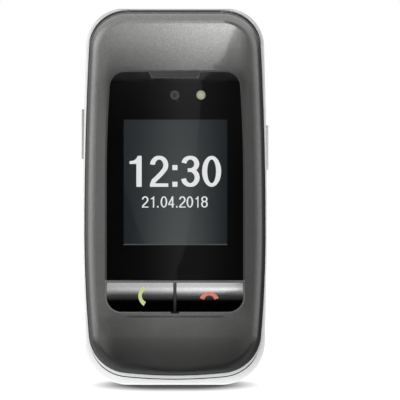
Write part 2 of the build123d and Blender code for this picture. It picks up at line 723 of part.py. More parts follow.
# ---- Lid: circuit board ---------------------------------------------------------------
flex_x = (FLEX_LEFT + FLEX_RIGHT) / 2
with BuildPart() as lid_board:
    with BuildSketch(at_depth(lid_board_front)):
        add(lid_outline(LID_FOOT_RISE, lid_contents_inset))
        with Locations((0, LENGTH)):
            Rectangle(2 * lid_half, 2 * (LENGTH - lid_board_top), mode=Mode.SUBTRACT)
        with Locations((0, 0)):
            Rectangle(2 * lid_half, 2 * EARPIECE_Z + 1.5 * EARPIECE_WIDTH, mode=Mode.SUBTRACT)
        with Locations(*lid_screw_points):
            Circle(BOSS_RADIUS + BOSS_CLEAR, mode=Mode.SUBTRACT)
    extrude(amount=-LID_BOARD)
    # flex connector and driver chips on the rear of the board
    with BuildSketch(at_depth(lid_board_back)):
        with Locations((flex_x, lid_board_top - FLEX_CONNECTOR[1])):
            Rectangle(*FLEX_CONNECTOR)
        chip_left = flex_x - FLEX_CONNECTOR[0] / 2 - DRIVER_CHIP[0]
        with Locations((chip_left, lid_board_top - DRIVER_CHIP[1])):
            with GridLocations(1.5 * DRIVER_CHIP[0], 0, 2, 1):
                Rectangle(*DRIVER_CHIP)
    extrude(amount=-BOARD_PARTS)
save(lid_board, "lid_board")

with BuildPart() as lid_key_switches:
    with BuildSketch(at_depth(lid_board_front)):
        with Locations((-key_middle, key_centre_z), (key_middle, key_centre_z)):
            Circle(DOME_RADIUS)
    extrude(amount=DOME_HEIGHT)
save(lid_key_switches, "lid_key_switches")

# ---- Lid: outer display, camera and flash ---------------------------------------------
with BuildPart() as outer_display:
    with BuildSketch(at_depth(lid_board_front - FIT)):
        with Locations((OUTER_DISPLAY_X, (display_top + display_low) / 2)):
            RectangleRounded(OUTER_DISPLAY_WIDTH, OUTER_DISPLAY_HEIGHT, DISPLAY_CORNER)
    extrude(amount=lid_board_front - FIT - glass_back - OPTICAL_GAP)
save(outer_display, "outer_display")

with BuildPart() as camera_module:
    with BuildSketch(at_depth(lid_board_front - FIT)):
        with Locations((0, camera_z)):
            RectangleRounded(CAMERA_BODY, CAMERA_BODY, CAMERA_CORNER)
    extrude(amount=lid_board_front - FIT - chassis_front)
    with BuildSketch(at_depth(chassis_front)):
        with Locations((0, camera_z)):
            Circle(CAMERA_BARREL_RADIUS)
    extrude(amount=chassis_front - glass_back - OPTICAL_GAP)
save(camera_module, "camera_module")

with BuildPart() as flash_led:
    with BuildSketch(at_depth(lid_board_front - FIT)):
        with Locations((FLASH_X, camera_z)):
            Circle(FLASH_RADIUS)
    extrude(amount=lid_board_front - FIT - glass_back - OPTICAL_GAP)
save(flash_led, "flash_led")

# ---- Lid: inner display, its lens and the earpiece ------------------------------------
inner_display_z = INNER_DISPLAY_LOW_Z + INNER_DISPLAY_HEIGHT / 2
with BuildPart() as inner_display:
    with BuildSketch(at_depth(inner_display_back)):
        with Locations((0, inner_display_z)):
            RectangleRounded(INNER_DISPLAY_WIDTH, INNER_DISPLAY_HEIGHT, DISPLAY_CORNER)
    extrude(amount=inner_display_back - lid_board_back - OPTICAL_GAP)
save(inner_display, "inner_display")

with BuildPart() as inner_lens:
    with BuildSketch(at_depth(lid_back - LENS_SINK)):
        with Locations((0, inner_display_z)):
            RectangleRounded(LENS_WIDTH, LENS_HEIGHT, LENS_CORNER)
    extrude(amount=LENS_THICKNESS)
save(inner_lens, "inner_lens")

with BuildPart() as earpiece:
    with BuildSketch(at_depth(plate_inside - FIT)):
        with Locations((0, EARPIECE_Z)):
            SlotOverall(EARPIECE_LENGTH, EARPIECE_WIDTH)
    extrude(amount=EARPIECE_DEPTH)
save(earpiece, "earpiece")

# ---- Lid: inner shell with the hinge barrel -------------------------------------------
with BuildPart() as lid_inner_shell:
    with BuildSketch(at_depth(lid_back)):
        add(lid_outline(INNER_FOOT_RISE))
    extrude(amount=lid_back - lid_seam)
    fillet(rim(lid_inner_shell.part, 1), INNER_RIM)
    with BuildSketch(at_depth(plate_inside)):
        add(lid_outline(LID_FOOT_RISE, LID_WALL + FIT + TONGUE_WALL))
    extrude(amount=plate_inside - lid_seam, mode=Mode.SUBTRACT)
    # locating lip inside the outer cover
    with BuildSketch(at_depth(lid_seam)):
        add(lid_outline(LID_FOOT_RISE, LID_WALL + FIT))
        add(lid_outline(LID_FOOT_RISE, LID_WALL + FIT + TONGUE_WALL), mode=Mode.SUBTRACT)
    extrude(amount=TONGUE_HEIGHT)
    with BuildSketch(at_depth(plate_inside - FIT)):
        with Locations(*lid_screw_points):
            Circle(BOSS_RADIUS + FIT)
    extrude(amount=plate_inside - lid_seam + TONGUE_HEIGHT, mode=Mode.SUBTRACT)
    # display opening and the bonded seat of the lens
    with BuildSketch(at_depth(lid_back)):
        with Locations((0, inner_display_z)):
            RectangleRounded(LENS_WIDTH + 2 * FIT, LENS_HEIGHT + 2 * FIT, LENS_CORNER + FIT)
    extrude(amount=LENS_THICKNESS + LENS_SINK, mode=Mode.SUBTRACT)
    with BuildSketch(at_depth(lid_back)):
        with Locations((0, inner_display_z)):
            Rectangle(LENS_WIDTH - 2 * LENS_SHELF, LENS_HEIGHT - 2 * LENS_END_SHELF)
    extrude(amount=INNER_PLATE, mode=Mode.SUBTRACT)
    # sound slots of the earpiece
    with BuildSketch(at_depth(lid_back)):
        with Locations((0, EARPIECE_Z)):
            with GridLocations(0, EARPIECE_SLOT_PITCH, 1, 2):
                SlotOverall(*EARPIECE_SLOT)
    extrude(amount=INNER_PLATE, mode=Mode.SUBTRACT)
    # screw holes; the two lower ones lie under the bumpers
    with BuildSketch(at_depth(lid_back)):
        with Locations(*lid_screw_points):
            Circle(SCREW_RADIUS + SCREW_HOLE_CLEAR)
    extrude(amount=INNER_PLATE, mode=Mode.SUBTRACT)
    with BuildSketch(at_depth(lid_back)):
        with Locations(*lid_screw_points):
            Circle(SCREW_HEAD_RADIUS + SCREW_HOLE_CLEAR)
    extrude(amount=BUMPER_DEPTH + FIT + LID_SCREW_HEAD, mode=Mode.SUBTRACT)
    with BuildSketch(at_depth(lid_back)):
        with Locations(*bumper_points):
            Circle(BUMPER_RADIUS + FIT)
    extrude(amount=BUMPER_DEPTH, mode=Mode.SUBTRACT)
    # web and barrel
    with BuildSketch(across(-BARREL_HALF)):
        with Locations(((lid_back + hinge_y) / 2, hinge_z)):
            Rectangle(hinge_y - lid_back, 2 * WEB_HALF)
        with Locations((hinge_y, hinge_z)):
            Circle(BARREL_RADIUS)
    extrude(amount=2 * BARREL_HALF)
    with BuildSketch(across(-BARREL_HALF)):
        with Locations((hinge_y, hinge_z)):
            Circle(BARREL_BORE)
    extrude(amount=BARREL_HALF - BORE_WALL_HALF, mode=Mode.SUBTRACT)
    with BuildSketch(across(BORE_WALL_HALF)):
        with Locations((hinge_y, hinge_z)):
            Circle(BARREL_BORE)
    extrude(amount=BARREL_HALF - BORE_WALL_HALF, mode=Mode.SUBTRACT)
    # slot for the flex, from the barrel into the lid
    with BuildSketch(across(FLEX_LEFT - FLEX_CLEAR)):
        with Locations((hinge_y - BARREL_RADIUS, hinge_z - FLEX_BEND)):
            Rectangle(FLEX_SLOT_DEPTH, FLEX_SLOT)
    extrude(amount=FLEX_RIGHT - FLEX_LEFT + 2 * FLEX_CLEAR, mode=Mode.SUBTRACT)
save(lid_inner_shell, "lid_inner_shell")

# ---- Lid: bumpers and screws ----------------------------------------------------------
with BuildPart() as lid_bumpers:
    with BuildSketch(at_depth(lid_back - BUMPER_DEPTH)):
        with Locations(*bumper_points):
            Circle(BUMPER_RADIUS)
    extrude(amount=-(BUMPER_DEPTH + BUMPER_PROUD))
    fillet(lid_bumpers.edges().group_by(Axis.Y)[-1], BUMPER_EDGE)
save(lid_bumpers, "lid_bumpers")

with BuildPart() as lid_screws:
    head_back = lid_back - BUMPER_DEPTH - FIT
    with BuildSketch(at_depth(head_back)):
        with Locations(*lid_screw_points):
            Circle(SCREW_HEAD_RADIUS)
            RegularPolygon(SCREW_SOCKET_RADIUS, 6, mode=Mode.SUBTRACT)
    extrude(amount=LID_SCREW_HEAD)
    with BuildSketch(at_depth(head_back - LID_SCREW_HEAD)):
        with Locations(*lid_screw_points):
            Circle(SCREW_RADIUS - FIT)
    extrude(amount=SCREW_LENGTH)
save(lid_screws, "lid_screws")

# ---- Hinge: friction cartridge, discs, bush and flex in the barrel --------------------
with BuildPart() as hinge_cartridge:
    with BuildSketch(across(can_left)):
        with Locations((hinge_y, hinge_z)):
            Circle(can_radius)
            Circle(SHAFT_RADIUS + SHAFT_RUN, mode=Mode.SUBTRACT)
    extrude(amount=CAN_END)
    with BuildSketch(across(can_left + CAN_END)):
        with Locations((hinge_y, hinge_z)):
            Circle(can_radius)
            Circle(can_radius - CAN_WALL, mode=Mode.SUBTRACT)
    extrude(amount=can_right - can_left - 2 * CAN_END)
    with BuildSketch(across(can_right - CAN_END)):
        with Locations((hinge_y, hinge_z)):
            Circle(can_radius)
    extrude(amount=CAN_END)
save(hinge_cartridge, "hinge_cartridge")

with BuildPart() as hinge_discs:
    for index in range(DISC_COUNT):
        with BuildSketch(across(disc_left + index * DISC_PITCH)):
            with Locations((hinge_y, hinge_z)):
                Circle(can_radius - CAN_WALL - FIT)
                Circle(SHAFT_RADIUS + SHAFT_RUN, mode=Mode.SUBTRACT)
        extrude(amount=DISC_THICKNESS)
save(hinge_discs, "hinge_discs")

with BuildPart() as hinge_bush:
    with BuildSketch(across(bush_left)):
        with Locations((hinge_y, hinge_z)):
            Circle(can_radius)
            Circle(PIN_RADIUS + SHAFT_RUN, mode=Mode.SUBTRACT)
    extrude(amount=BUSH_LENGTH)
save(hinge_bush, "hinge_bush")

head_left = disc_left + DISC_COUNT * DISC_PITCH
with BuildPart() as hinge_pins:
    # friction shaft, its head behind the discs and its square end keyed into the left ear
    with BuildSketch(across(-ear_x)):
        with Locations((hinge_y, hinge_z)):
            Circle(SHAFT_RADIUS)
    extrude(amount=head_left + ear_x)
    with BuildSketch(across(head_left)):
        with Locations((hinge_y, hinge_z)):
            Circle(can_radius - CAN_WALL - 2 * FIT)
    extrude(amount=SHAFT_HEAD)
    with BuildSketch(across(-ear_x)):
        with Locations((hinge_y, hinge_z)):
            Rectangle(SHAFT_SQUARE, SHAFT_SQUARE)
    extrude(amount=-SHAFT_IN_EAR)
    # hollow pin of the right ear, through which the flex is led
    with BuildSketch(across(bush_left)):
        with Locations((hinge_y, hinge_z)):
            Circle(PIN_RADIUS)
            Circle(PIN_BORE, mode=Mode.SUBTRACT)
    extrude(amount=ear_x + PIN_IN_EAR - bush_left)
save(hinge_pins, "hinge_pins")

flex_middle = lid_board_back + BOARD_PARTS + FLEX / 2
with BuildPart() as display_flex:
    with BuildSketch(across(FLEX_LEFT)):
        with BuildLine():
            # roll: half turns of growing radius about the hinge axis
            reach = FLEX_ROLL_START
            side = 1
            for _ in range(FLEX_HALF_TURNS):
                TangentArc(
                    (hinge_y + side * reach, hinge_z),
                    (hinge_y - side * (reach + FLEX_ROLL_STEP), hinge_z),
                    tangent=(0, side),
                )
                reach += FLEX_ROLL_STEP
                side = -side
            # tail: out of the barrel, through the web, down to the connector
            exit_y = hinge_y - reach
            TangentArc((exit_y, hinge_z), (exit_y - FLEX_BEND, hinge_z - FLEX_BEND), tangent=(0, -1))
            tail_z = hinge_z - FLEX_BEND
            Line((exit_y - FLEX_BEND, tail_z), (flex_middle + FLEX_BEND, tail_z))
            TangentArc(
                (flex_middle + FLEX_BEND, tail_z),
                (flex_middle, tail_z - FLEX_BEND),
                tangent=(-1, 0),
            )
            tail_end = lid_board_top - FLEX_CONNECTOR[1] - FLEX_OVERLAP / 2
            Line((flex_middle, tail_z - FLEX_BEND), (flex_middle, tail_end))
        trace(line_width=FLEX)
    extrude(amount=FLEX_RIGHT - FLEX_LEFT)
save(display_flex, "display_flex")


# ---- Base: whole outer form, from which its three shells are cut ----------------------
with BuildPart() as base_form:
    with BuildSketch(at_depth(deck)):
        add(base_outline())
    extrude(amount=-(base_back - deck))
    fillet(rim(base_form.part, -1), DECK_EDGE)
    with BuildSketch(Plane.YZ):
        with BuildLine():
            Line((deck, -CUT_OVER), (deck, hinge_z))
            ThreePointArc(
                (deck, hinge_z),
                (hinge_y, hinge_z + BARREL_RADIUS),
                (hinge_y + BARREL_RADIUS, hinge_z),
            )
            TangentArc((base_back, upper_bay_low), (hinge_y + BARREL_RADIUS, hinge_z), tangent=(0, 1))
            Line((base_back, upper_bay_low), (base_back, -CUT_OVER))
            Line((base_back, -CUT_OVER), (deck, -CUT_OVER))
        make_face()
    extrude(amount=side_reach, both=True, mode=Mode.INTERSECT)
    # room for the barrel between the ears
    with BuildSketch(Plane.YZ):
        with Locations((hinge_y, hinge_z)):
            Circle(pocket_radius)
        with Locations((0, cover_top + LENGTH / 2)):
            Rectangle(2 * THICKNESS, LENGTH)
    extrude(amount=ear_x, both=True, mode=Mode.SUBTRACT)

# square socket of the friction shaft, seat of the hollow pin and the flex channel
with BuildPart() as ear_sockets:
    with BuildSketch(across(-ear_x + CUT_OVER)):
        with Locations((hinge_y, hinge_z)):
            Rectangle(SHAFT_SQUARE + 2 * FIT, SHAFT_SQUARE + 2 * FIT)
    extrude(amount=-(SHAFT_IN_EAR + CUT_OVER + 2 * FIT))
    with BuildSketch(across(ear_x - CUT_OVER)):
        with Locations((hinge_y, hinge_z)):
            Circle(PIN_RADIUS + PIN_FIT)
    extrude(amount=CUT_OVER + PIN_IN_EAR + 2 * FIT)
    with BuildSketch(across(ear_x + PIN_IN_EAR)):
        with Locations((hinge_y, hinge_z - CHANNEL_DROP)):
            Rectangle(CHANNEL_WIDTH, CHANNEL_HEIGHT)
    extrude(amount=CHANNEL_WIDTH)

# side keys: name, side, centre, length, and the places of their switches along them
side_keys = (
    ("volume_key", -1, LENGTH - VOLUME_KEY_DROP, VOLUME_KEY_LENGTH, (-0.5, 0.5)),
    ("side_key", 1, LENGTH - SIDE_KEY_DROP, SIDE_KEY_LENGTH, (0,)),
)

# openings of the side keys and of the USB socket
with BuildPart() as wall_openings:
    for _, side, z, length, _ in side_keys:
        key_front = side_key_y - SIDE_KEY_DEPTH / 2 - SIDE_KEY_FIT
        with BuildSketch(across(side * key_seat(z, length))):
            with Locations(((key_front + hinge_y) / 2, z)):
                Rectangle(hinge_y - key_front, length + 2 * SIDE_KEY_FIT)
        extrude(amount=side * (BASE_WALL + CUT_OVER))
    with BuildSketch(Plane.XY.offset(-CUT_OVER)):
        with Locations((0, (usb_front + usb_back) / 2)):
            Rectangle(USB_WIDTH + 2 * FIT, USB_HEIGHT + 2 * FIT)
    extrude(amount=CUT_OVER + USB_SINK + USB_DEPTH + 2 * FIT)

# ---- Keypad layout: name, centre, size and corner of each key -------------------------
digit_rows = (("star", "0", "hash"), ("7", "8", "9"), ("4", "5", "6"), ("1", "2", "3"))
keys = []
for row, names in enumerate(digit_rows):
    for column, key in enumerate(names):
        centre = ((column - 1) * digit_pitch_x, DIGIT_LOW_Z + row * digit_pitch_z)
        keys.append((f"key_{key}", centre, DIGIT_WIDTH, DIGIT_HEIGHT, DIGIT_CORNER))
digits_top = DIGIT_LOW_Z + 3 * digit_pitch_z + DIGIT_HEIGHT / 2
nav_z = digits_top + SOFT_GAP_Z + NAV_HEIGHT / 2
soft_rise = (NAV_HEIGHT - SOFT_HEIGHT) / 2
for key, x, z in (
    ("send_key", -soft_x, nav_z - soft_rise),
    ("power_key", soft_x, nav_z - soft_rise),
    ("soft_key_left", -soft_x, nav_z + soft_rise),
    ("soft_key_right", soft_x, nav_z + soft_rise),
):
    keys.append((key, (x, z), SOFT_WIDTH, SOFT_HEIGHT, DIGIT_CORNER))
keys.append(("nav_key", (0, nav_z), NAV_WIDTH, NAV_HEIGHT, NAV_CORNER))

# ---- Base: front shell ----------------------------------------------------------------
with BuildPart() as base_front_shell:
    add(base_form.part)
    split(bisect_by=at_depth(hinge_y), keep=Keep.TOP)
    with BuildSketch(at_depth(hinge_y)):
        add(base_outline(BASE_WALL))
        with Locations((0, bay_top + LENGTH / 2)):
            Rectangle(2 * side_reach, LENGTH, mode=Mode.SUBTRACT)
    extrude(amount=hinge_y - plate_back, mode=Mode.SUBTRACT)
    # screw bosses
    with BuildSketch(at_depth(hinge_y)):
        with Locations(*base_screw_points):
            Circle(BOSS_RADIUS)
    extrude(amount=hinge_y - plate_back)
    with BuildSketch(at_depth(hinge_y)):
        with Locations(*base_screw_points):
            Circle(SCREW_RADIUS)
    extrude(amount=hinge_y - plate_back, mode=Mode.SUBTRACT)
    # key openings
    with BuildSketch(at_depth(plate_back)):
        for _, centre, width, height, corner in keys:
            with Locations(centre):
                RectangleRounded(width + 2 * KEY_GAP, height + 2 * KEY_GAP, corner + KEY_GAP)
        with Locations((MIC_X, MIC_Z)):
            Circle(MIC_HOLE)
    extrude(amount=FRONT_PLATE, mode=Mode.SUBTRACT)
    add(ear_sockets.part, mode=Mode.SUBTRACT)
    add(wall_openings.part, mode=Mode.SUBTRACT)
save(base_front_shell, "base_front_shell")

# ---- Base: rear chassis with the rear halves of the ears ------------------------------
with BuildPart() as rear_chassis:
    add(base_form.part)
    split(bisect_by=at_depth(hinge_y), keep=Keep.BOTTOM)
    # the back cover's place
    with BuildSketch(at_depth(cover_seam)):
        with Locations((0, strip_low - LENGTH / 2)):
            Rectangle(2 * side_reach, LENGTH)
    extrude(amount=-THICKNESS, mode=Mode.SUBTRACT)
    fillet(ear_edges(rear_chassis.part), EAR_RIM)
    with BuildSketch(at_depth(hinge_y)):
        add(base_outline(BASE_WALL))
        with Locations((0, bay_top + LENGTH / 2)):
            Rectangle(2 * side_reach, LENGTH, mode=Mode.SUBTRACT)
    extrude(amount=-CHASSIS_BAND, mode=Mode.SUBTRACT)
    # mid plate
    with BuildSketch(at_depth(rear_plate_front)):
        add(base_outline(BASE_WALL - FIT))
        with Locations((0, bay_top + LENGTH / 2)):
            Rectangle(2 * side_reach, LENGTH, mode=Mode.SUBTRACT)
        with Locations((SIM_X, SIM_Z)):
            Rectangle(SIM_WIDTH + 2 * SIM_CLEAR, SIM_HEIGHT + 2 * SIM_CLEAR, mode=Mode.SUBTRACT)
        with Locations((0, connector_z)):
            Rectangle(
                CONNECTOR_WIDTH + 2 * CONNECTOR_CLEAR,
                CONNECTOR_HEIGHT + 2 * CONNECTOR_CLEAR,
                mode=Mode.SUBTRACT,
            )
        with Locations((0, sos_z)):
            Circle(SOS_STEM_RADIUS + SOS_STEM_CLEAR, mode=Mode.SUBTRACT)
        with Locations(*base_screw_points):
            Circle(SCREW_RADIUS + SCREW_HOLE_CLEAR, mode=Mode.SUBTRACT)
    extrude(amount=-CHASSIS_PLATE)
    # strip behind the barrel, thinner where the trim blocks sit on it
    with BuildSketch(at_depth(strip_front)):
        with Locations((0, strip_middle)):
            Rectangle(2 * ear_x + 2 * STRIP_END, STRIP_RISE)
    extrude(amount=-STRIP_DEPTH)
    with BuildSketch(at_depth(strip_front)):
        with Locations((0, strip_middle)):
            Rectangle(2 * TRIM_INNER_X, STRIP_RISE)
    extrude(amount=-(2 * STRIP_DEPTH - TRIM_GAP))
    add(ear_sockets.part, mode=Mode.SUBTRACT)
    add(wall_openings.part, mode=Mode.SUBTRACT)
save(rear_chassis, "rear_chassis")

with BuildPart() as hinge_trim_blocks:
    with BuildSketch(at_depth(strip_front + STRIP_DEPTH)):
        trim_width = ear_x - TRIM_GAP - TRIM_INNER_X - FIT
        trim_x = TRIM_INNER_X + FIT + trim_width / 2
        with Locations((-trim_x, strip_middle), (trim_x, strip_middle)):
            Rectangle(trim_width, STRIP_RISE)
    extrude(amount=-(STRIP_DEPTH - TRIM_GAP))
save(hinge_trim_blocks, "hinge_trim_blocks")

# ---- Base: back cover -----------------------------------------------------------------
with BuildPart() as back_cover:
    add(base_form.part)
    split(bisect_by=at_depth(cover_seam), keep=Keep.BOTTOM)
    with BuildSketch(at_depth(cover_seam)):
        with Locations((0, cover_top + LENGTH / 2)):
            Rectangle(2 * side_reach, LENGTH)
    extrude(amount=-THICKNESS, mode=Mode.SUBTRACT)
    fillet(rim(back_cover.part, 1).filter_by_position(Axis.Z, -CUT_OVER, cover_top - BACK_RIM), BACK_RIM)
    # battery bay and the shallower bay above it
    for low, high, ceiling in (
        (-CUT_OVER, upper_bay_low, cover_ceiling),
        (upper_bay_low, bay_top, upper_ceiling),
    ):
        with BuildSketch(at_depth(cover_seam)):
            add(base_outline(BASE_WALL))
            with Locations((0, (low + high) / 2)):
                Rectangle(2 * side_reach, high - low, mode=Mode.INTERSECT)
        extrude(amount=-(ceiling - cover_seam), mode=Mode.SUBTRACT)
    # lip inside the chassis wall
    with BuildSketch(at_depth(cover_seam)):
        add(base_outline(BASE_WALL + COVER_TRAVEL_CLEAR))
        add(base_outline(BASE_WALL + COVER_TRAVEL_CLEAR + COVER_LIP), mode=Mode.SUBTRACT)
        with Locations((0, bay_top - COVER_LIP_TOP_GAP + LENGTH / 2)):
            Rectangle(2 * side_reach, LENGTH, mode=Mode.SUBTRACT)
    extrude(amount=cover_seam - rear_plate_back - COVER_TRAVEL_CLEAR)
    with BuildSketch(at_depth(cover_seam)):
        add(base_outline(BASE_WALL - COVER_LIP_ROOT))
        add(base_outline(BASE_WALL + COVER_TRAVEL_CLEAR + COVER_LIP), mode=Mode.SUBTRACT)
        with Locations((0, bay_top - COVER_LIP_TOP_GAP + LENGTH / 2)):
            Rectangle(2 * side_reach, LENGTH, mode=Mode.SUBTRACT)
    extrude(amount=-COVER_LIP_ROOT)
    # opening of the SOS button, with a step behind the skin for its lip
    with BuildSketch(at_depth(cover_seam)):
        with Locations((0, sos_z)):
            Circle(SOS_RADIUS + SOS_CLEAR)
    extrude(amount=-THICKNESS, mode=Mode.SUBTRACT)
    with BuildSketch(at_depth(cover_seam)):
        with Locations((0, sos_z)):
            Circle(SOS_RADIUS + SOS_LIP + 2 * SOS_CLEAR)
    extrude(amount=-(upper_ceiling - cover_seam + SOS_LIP_STEP), mode=Mode.SUBTRACT)
    # sound slots over the loudspeaker
    with BuildSketch(at_depth(cover_seam)):
        with Locations((speaker_x, speaker_z)):
            with GridLocations(0, GRILLE_PITCH, 1, GRILLE_SLOTS):
                Rectangle(2 * GRILLE_RADIUS, GRILLE_SLOT)
            Circle(GRILLE_RADIUS, mode=Mode.INTERSECT)
    extrude(amount=-THICKNESS, mode=Mode.SUBTRACT)
    # keyhole-shaped recess that joins the button and the grille
    with BuildSketch(at_depth(back_at(speaker_z) - RECESS_DEPTH)):
        with Locations((speaker_x, speaker_z)):
            Circle(GRILLE_RADIUS + RECESS_RIM)
        with Locations((0, sos_z)):
            Circle(SOS_RADIUS + RECESS_RIM)
        with Locations((speaker_x / 2, (sos_z + speaker_z) / 2)):
            Rectangle(speaker_x, 2 * RECESS_NECK)
    extrude(amount=-THICKNESS, mode=Mode.SUBTRACT)
    add(wall_openings.part, mode=Mode.SUBTRACT)
save(back_cover, "back_cover")

# ---- Keypad: keys, dome sheet ---------------------------------------------------------
for name, centre, width, height, corner in keys:
    with BuildPart() as keypad_key:
        with BuildSketch(at_depth(flange_front)):
            with Locations(centre):
                RectangleRounded(width, height, corner)
        extrude(amount=flange_front - deck - KEY_TOP_SINK)
        fillet(keypad_key.edges().group_by(Axis.Y)[0], KEY_EDGE)
        with BuildSketch(at_depth(flange_front)):
            with Locations(centre):
                RectangleRounded(width + 2 * KEY_FLANGE, height + 2 * KEY_FLANGE, corner)
        extrude(amount=-KEY_FLANGE_THICKNESS)
    save(keypad_key, name)

keypad_low = DIGIT_LOW_Z - DIGIT_HEIGHT / 2
keypad_top = nav_z + NAV_HEIGHT / 2
with BuildPart() as dome_sheet:
    with BuildSketch(at_depth(board_front)):
        with Locations((0, (keypad_low + keypad_top) / 2)):
            RectangleRounded(
                2 * digit_pitch_x + DIGIT_WIDTH,
                keypad_top - keypad_low,
                DOME_SHEET_CORNER,
            )
    extrude(amount=DOME_SHEET)
    with BuildSketch(at_depth(sheet_front)):
        for name, centre, _, height, _ in keys:
            if name == "nav_key":
                with Locations((centre[0], centre[1] - height / 4), (centre[0], centre[1] + height / 4)):
                    Circle(KEYPAD_DOME_RADIUS)
            else:
                with Locations(centre):
                    Circle(KEYPAD_DOME_RADIUS)
    extrude(amount=KEYPAD_DOME)
save(dome_sheet, "dome_sheet")

# ---- Base: main board and what is soldered to it --------------------------------------
with BuildPart() as main_board:
    with BuildSketch(at_depth(board_front)):
        add(base_outline(board_inset))
        with Locations((0, bay_top - BOARD_TOP_GAP + LENGTH / 2)):
            Rectangle(2 * side_reach, LENGTH, mode=Mode.SUBTRACT)
        with Locations(*base_screw_points):
            Circle(BOSS_RADIUS + BOSS_CLEAR, mode=Mode.SUBTRACT)
    extrude(amount=-BOARD)
    # flexible tail from the board's edge up to the hollow pin
    tail_low = bay_top - BOARD_TOP_GAP - FLEX_BEND
    tail_top = hinge_z + PIN_BORE
    with BuildSketch(at_depth((board_front + board_back - FLEX) / 2)):
        with Locations((ear_x + PIN_IN_EAR + CHANNEL_WIDTH / 2, (tail_low + tail_top) / 2)):
            Rectangle(CHANNEL_WIDTH - 2 * FLEX_CLEAR, tail_top - tail_low)
    extrude(amount=-FLEX)
save(main_board, "main_board")

with BuildPart() as shield_cans:
    with BuildSketch(at_depth(board_back)):
        for x, z, width, height in SHIELDS:
            with Locations((x, z)):
                RectangleRounded(width, height, SHIELD_CORNER)
    extrude(amount=-shield_height)
    with BuildSketch(at_depth(board_back)):
        for x, z, width, height in SHIELDS:
            with Locations((x, z)):
                RectangleRounded(
                    width - 2 * SHIELD_SKIN,
                    height - 2 * SHIELD_SKIN,
                    SHIELD_CORNER - SHIELD_SKIN,
                )
    extrude(amount=-(shield_height - SHIELD_SKIN), mode=Mode.SUBTRACT)
save(shield_cans, "shield_cans")

with BuildPart() as sim_holder:
    with BuildSketch(at_depth(board_back)):
        with Locations((SIM_X, SIM_Z)):
            Rectangle(SIM_WIDTH, SIM_HEIGHT)
    extrude(amount=-shield_height)
    with BuildSketch(across(SIM_X - SIM_WIDTH / 2 + SIM_WALL)):
        with Locations((board_back + shield_height - SHIELD_SKIN - SIM_SLOT / 2, SIM_Z + SIM_WALL)):
            Rectangle(SIM_SLOT, SIM_HEIGHT)
    extrude(amount=SIM_WIDTH - 2 * SIM_WALL, mode=Mode.SUBTRACT)
save(sim_holder, "sim_holder")

battery_front = rear_plate_back + BATTERY_CLEAR
battery_back = cover_ceiling - BATTERY_CLEAR
battery_top = BATTERY_LOW_Z + BATTERY_HEIGHT
with BuildPart() as battery:
    with BuildSketch(at_depth(battery_back)):
        with Locations((0, BATTERY_LOW_Z + BATTERY_HEIGHT / 2)):
            RectangleRounded(BATTERY_WIDTH, BATTERY_HEIGHT, BATTERY_CORNER)
    extrude(amount=battery_back - battery_front)
save(battery, "battery")

with BuildPart() as battery_connector:
    with BuildSketch(at_depth(board_back)):
        with Locations((0, connector_z)):
            Rectangle(CONNECTOR_WIDTH, CONNECTOR_HEIGHT)
    extrude(amount=-(battery_front + CONNECTOR_DEPTH - board_back))
    contact_low = battery_top + FIT
    contact_high = connector_z - CONNECTOR_HEIGHT / 2
    with BuildSketch(at_depth(battery_front + CONNECTOR_DEPTH - CONNECTOR_CLEAR)):
        with Locations((0, (contact_low + contact_high) / 2)):
            with GridLocations(CONTACT_PITCH, 0, CONTACT_COUNT, 1):
                Rectangle(CONTACT_WIDTH, contact_high - contact_low)
    extrude(amount=CONTACT_WIDTH)
save(battery_connector, "battery_connector")

with BuildPart() as usb_socket:
    with BuildSketch(Plane.XY.offset(USB_SINK)):
        with Locations((0, (usb_front + usb_back) / 2)):
            RectangleRounded(USB_WIDTH, USB_HEIGHT, USB_CORNER)
    extrude(amount=USB_DEPTH)
    with BuildSketch(Plane.XY.offset(USB_SINK)):
        with Locations((0, (usb_front + usb_back) / 2)):
            RectangleRounded(
                USB_WIDTH - 2 * USB_WALL,
                USB_HEIGHT - 2 * USB_WALL,
                USB_CORNER - USB_WALL,
            )
            Rectangle(*USB_TONGUE, mode=Mode.SUBTRACT)
    extrude(amount=USB_DEPTH - 2 * USB_WALL, mode=Mode.SUBTRACT)
save(usb_socket, "usb_socket")

with BuildPart() as microphone:
    with BuildSketch(at_depth(board_front)):
        with Locations((MIC_X, MIC_Z)):
            Circle(MIC_RADIUS)
    extrude(amount=board_front - plate_back - FIT)
save(microphone, "microphone")

# ---- Base: what sits on the chassis plate ---------------------------------------------
with BuildPart() as loudspeaker:
    with BuildSketch(at_depth(seat)):
        with Locations((speaker_x, speaker_z)):
            Circle(SPEAKER_RADIUS)
    extrude(amount=-(upper_ceiling - BAY_PLAY - GASKET_THICKNESS - seat))
    # foam gasket round the front of its cone
    with BuildSketch(at_depth(upper_ceiling - BAY_PLAY)):
        with Locations((speaker_x, speaker_z)):
            Circle(SPEAKER_RADIUS)
            Circle(SPEAKER_RADIUS - GASKET_WIDTH, mode=Mode.SUBTRACT)
    extrude(amount=GASKET_THICKNESS)
save(loudspeaker, "loudspeaker")

with BuildPart() as vibration_motor:
    with BuildSketch(at_depth(seat)):
        with Locations((-speaker_x, speaker_z - MOTOR_DROP)):
            Circle(MOTOR_RADIUS)
    extrude(amount=-(upper_ceiling - BAY_PLAY - seat))
save(vibration_motor, "vibration_motor")

